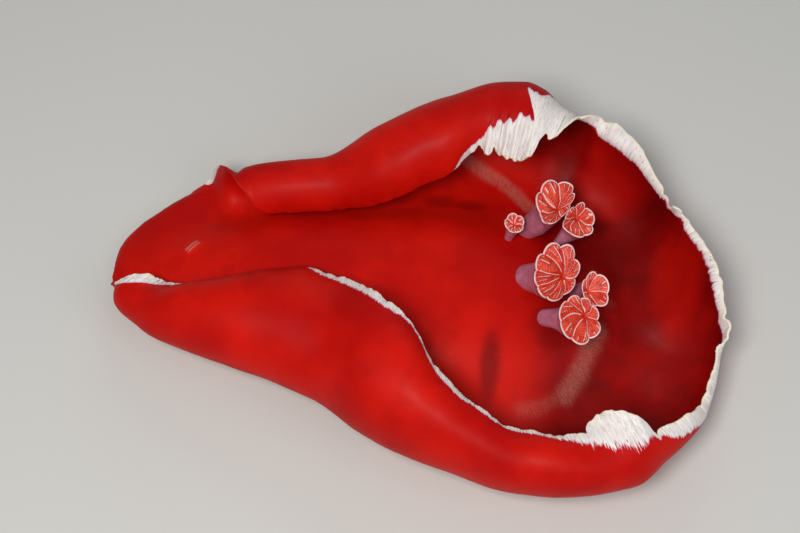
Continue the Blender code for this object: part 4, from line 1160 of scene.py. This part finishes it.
def skin_material():
    """Moist red skin, a streaked white rim, pale bands of fine dots, dark marks, and painted shade and
    light on the bowl, under the roll and under a gill.
    """
    n = Nodes("moist_red_skin")
    place = n.add("ShaderNodeTexCoord").outputs["Object"]
    broad = n.noise(place, 24.0, 3.0)
    cloudy = n.noise(place, 70.0, 4.0, 0.6)
    tissue = n.noise(place, 420.0, 3.0, 0.55)

    bright = n.mix(n.ramp(broad, 0.35, 0.68), (0.46, 0.002, 0.0008), (0.62, 0.0065, 0.0016))
    bright = n.mix(n.times(n.ramp(cloudy, 0.48, 0.75), 0.4), bright, (0.38, 0.001, 0.0008))
    # The deeper red of the bowl behind the gills: partly the skin's own tone and partly painted shade.
    deep_and_shade = n.mix(n.ramp(broad, 0.36, 0.7), (0.165, 0.0006, 0.0006), (0.33, 0.0022, 0.0012))
    deep_and_shade = n.mix(n.times(n.ramp(cloudy, 0.4, 0.72), 0.35), deep_and_shade, (0.1, 0.0006, 0.0008))
    red = n.mix(n.attribute("deep_and_shade"), bright, deep_and_shade)
    # Darkens the dark marks and the painted shadows under a gill and under the roll.
    red = n.mix(n.times(n.attribute("dark_and_shadow"), 0.8), red, (0.2, 0.001, 0.001))

    around = n.attribute("around", "Vector")
    from_rim = n.attribute("from_rim")
    hair = n.noise(n.along(around, 0.1), 2.4, 2.0, 0.6)
    tuft = n.noise(n.along(around, 0.04), 0.5, 2.0, 0.55)
    drift = n.noise(n.along(around, 0.02), 0.09, 1.0)

    dot_inputs = {"Scale": 1100.0, "Randomness": 1.0, "Vector": place}
    dots = n.add("ShaderNodeTexVoronoi", {"feature": "F1"}, dot_inputs)
    speck = n.ramp(dots.outputs["Distance"], 0.55, 0.2)
    pale = n.plus(n.attribute("pale"), n.times(n.minus(cloudy, 0.5), 0.5))
    pale = n.ramp(pale, 0.12, 0.8)
    pale = n.times(pale, n.ramp(hair, 0.2, 0.6))
    pale = n.times(pale, n.plus(n.times(speck, 0.4), 0.55))
    red = n.mix(pale, red, (0.46, 0.13, 0.1))
    red = n.mix(n.attribute("slit"), red, (0.55, 0.2, 0.16))

    band = n.attribute("band")
    teeth = n.times(n.minus(hair, 0.5), n.times(n.attribute("teeth"), 1.6))
    tufts = n.times(n.minus(tuft, 0.5), n.times(n.attribute("teeth"), 1.3))
    width = n.plus(band, n.plus(teeth, tufts))
    width = n.times(width, n.plus(0.85, n.times(drift, 0.3)))
    inside = n.minus(width, from_rim)
    present = n.ramp(band, 0.15, 0.9)
    white = n.times(n.ramp(inside, -0.22, 0.3), present)
    flecks = n.noise(n.along(around, 0.5), 0.8, 2.0, 0.7)
    fleck = n.times(n.ramp(flecks, 0.66, 0.73), 0.8)
    rim_white = n.mix(n.ramp(hair, 0.28, 0.6), (0.7, 0.6, 0.6), (0.92, 0.88, 0.85))
    rim_white = n.mix(n.ramp(from_rim, 1.4, 0.4), rim_white, (0.9, 0.82, 0.7))
    edge_tint = n.times(n.ramp(inside, 1.6, 0.2), 0.45)
    rim_white = n.mix(edge_tint, rim_white, (0.66, 0.36, 0.5))
    rim_white = n.mix(fleck, rim_white, (0.3, 0.01, 0.015))
    halo = n.times(n.ramp(inside, -1.5, 0.0), present)
    red = n.mix(n.times(halo, 0.55), red, (0.44, 0.012, 0.06))
    base = n.mix(white, red, rim_white)

    roughness = n.plus(0.46, n.times(cloudy, 0.18))
    roughness = n.plus(roughness, n.times(white, 0.14))
    height = n.plus(n.times(tissue, 0.35), n.times(cloudy, 0.8))
    height = n.plus(height, n.times(n.times(hair, white), 2.2))
    bump_inputs = {"Strength": 0.3, "Distance": 0.0006, "Height": height}
    bump = n.add("ShaderNodeBump", None, bump_inputs)
    return n.finish(
        {
            "Base Color": base,
            "Roughness": roughness,
            "Subsurface Weight": 0.1,
            "Subsurface Radius": (1.0, 0.1, 0.05),
            "Subsurface Scale": 0.002,
            "Specular IOR Level": 0.1,
            "Coat Weight": 0.02,
            "Coat Roughness": 0.25,
            "Normal": bump.outputs["Normal"],
        }
    )


def gill_material():
    """Orange-red pleats with white crests, and a lilac, milky outside."""
    n = Nodes("pleated_gill")
    place = n.add("ShaderNodeTexCoord").outputs["Object"]
    cloudy = n.noise(place, 260.0, 3.0, 0.6)
    crest = n.attribute("crest")
    red = n.mix(n.ramp(cloudy, 0.35, 0.7), (0.6, 0.02, 0.005), (0.76, 0.046, 0.009))
    fine = n.times(n.ramp(n.attribute("fine"), 0.6, 0.97), n.ramp(cloudy, 0.35, 0.6))
    red = n.mix(n.times(fine, 0.5), red, (0.82, 0.24, 0.15))
    milky = n.mix(n.ramp(cloudy, 0.3, 0.75), (0.46, 0.13, 0.21), (0.6, 0.23, 0.33))
    milky = n.mix(n.attribute("cup"), milky, (0.6, 0.13, 0.14))
    base = n.mix(n.attribute("outer"), red, milky)
    white = n.ramp(n.plus(crest, n.times(n.minus(cloudy, 0.5), 0.4)), 0.35, 0.8)
    return n.finish(
        {
            "Base Color": n.mix(white, base, (0.88, 0.62, 0.62)),
            "Roughness": 0.4,
            "Subsurface Weight": 0.15,
            "Subsurface Radius": (1.0, 0.25, 0.15),
            "Subsurface Scale": 0.0012,
            "Coat Weight": 0.1,
            "Coat Roughness": 0.2,
        }
    )


def floor_material():
    """A plain pale floor."""
    return Nodes("pale_floor").finish({"Base Color": (0.62, 0.62, 0.6, 1), "Roughness": 0.75})


def add_floor():
    """The floor that the animal lies on."""
    points = np.array([(-1, -1, 0), (1, -1, 0), (1, 1, 0), (-1, 1, 0)]) * FLOOR_HALF
    floor = new_object("floor", points, [[0, 1, 2, 3]], {}, floor_material())
    floor.location.z = -FLOOR_DROP


def aim(made, place, target):
    """Puts an object at a place, looking at a target."""
    made.location = place
    made.rotation_mode = "QUATERNION"
    made.rotation_quaternion = (Vector(target) - Vector(place)).to_track_quat("-Z", "Y")


def add_camera():
    """The camera, looking as the photo does."""
    azimuth, elevation = math.radians(CAMERA_AZIMUTH), math.radians(CAMERA_ELEVATION)
    level = math.cos(elevation)
    back = Vector((math.sin(azimuth) * level, -math.cos(azimuth) * level, math.sin(elevation)))
    right = Vector((math.cos(azimuth), math.sin(azimuth), 0))
    up = back.cross(right)
    data = bpy.data.cameras.new("camera")
    data.sensor_width = SENSOR_WIDTH
    data.lens = SENSOR_WIDTH * CAMERA_DISTANCE / (PHOTO_WIDTH * METRES_PER_PIXEL)
    camera = bpy.data.objects.new("camera", data)
    bpy.context.scene.collection.objects.link(camera)
    target = Vector(CAMERA_TARGET) + up * (BODY_BELOW_MIDDLE * METRES_PER_PIXEL)
    aim(camera, target + back * CAMERA_DISTANCE, target)
    bpy.context.scene.camera = camera


def add_lights():
    """Soft studio light from above, near the camera, with two weaker lamps and a pale sky."""
    for name, place, power, size, tone in LIGHTS:
        data = bpy.data.lights.new(name, "AREA")
        data.energy = power
        data.size = size
        data.color = tone
        light = bpy.data.objects.new(name, data)
        bpy.context.scene.collection.objects.link(light)
        aim(light, place, LIGHT_TARGET)
    world = bpy.data.worlds.new("studio")
    world.use_nodes = True
    background = world.node_tree.nodes["Background"]
    background.inputs["Color"].default_value = SKY
    background.inputs["Strength"].default_value = SKY_STRENGTH
    bpy.context.scene.world = world


bpy.context.scene.view_settings.view_transform = "Standard"
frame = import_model()
add_camera()
add_lights()
add_floor()

red_skin = skin_material()
skin_nodes = [name for name in frame["nodes"] if name.split("_")[0] in SKIN_PARTS]
back_grid = build_skin(skin_nodes, red_skin)
for name, place, turn in SHEATHS:
    build_sheath(name, place, turn, back_grid, red_skin)
for side, word in ((1, "right"), (-1, "left")):
    build_oral_tentacle(side, f"oral_tentacle_{word}", red_skin)
    build_lip(side, f"lip_{word}", red_skin)
build_papilla(red_skin)
pleated_gill = gill_material()
for seed, gill in enumerate(GILLS):
    build_gill(gill, seed, pleated_gill)
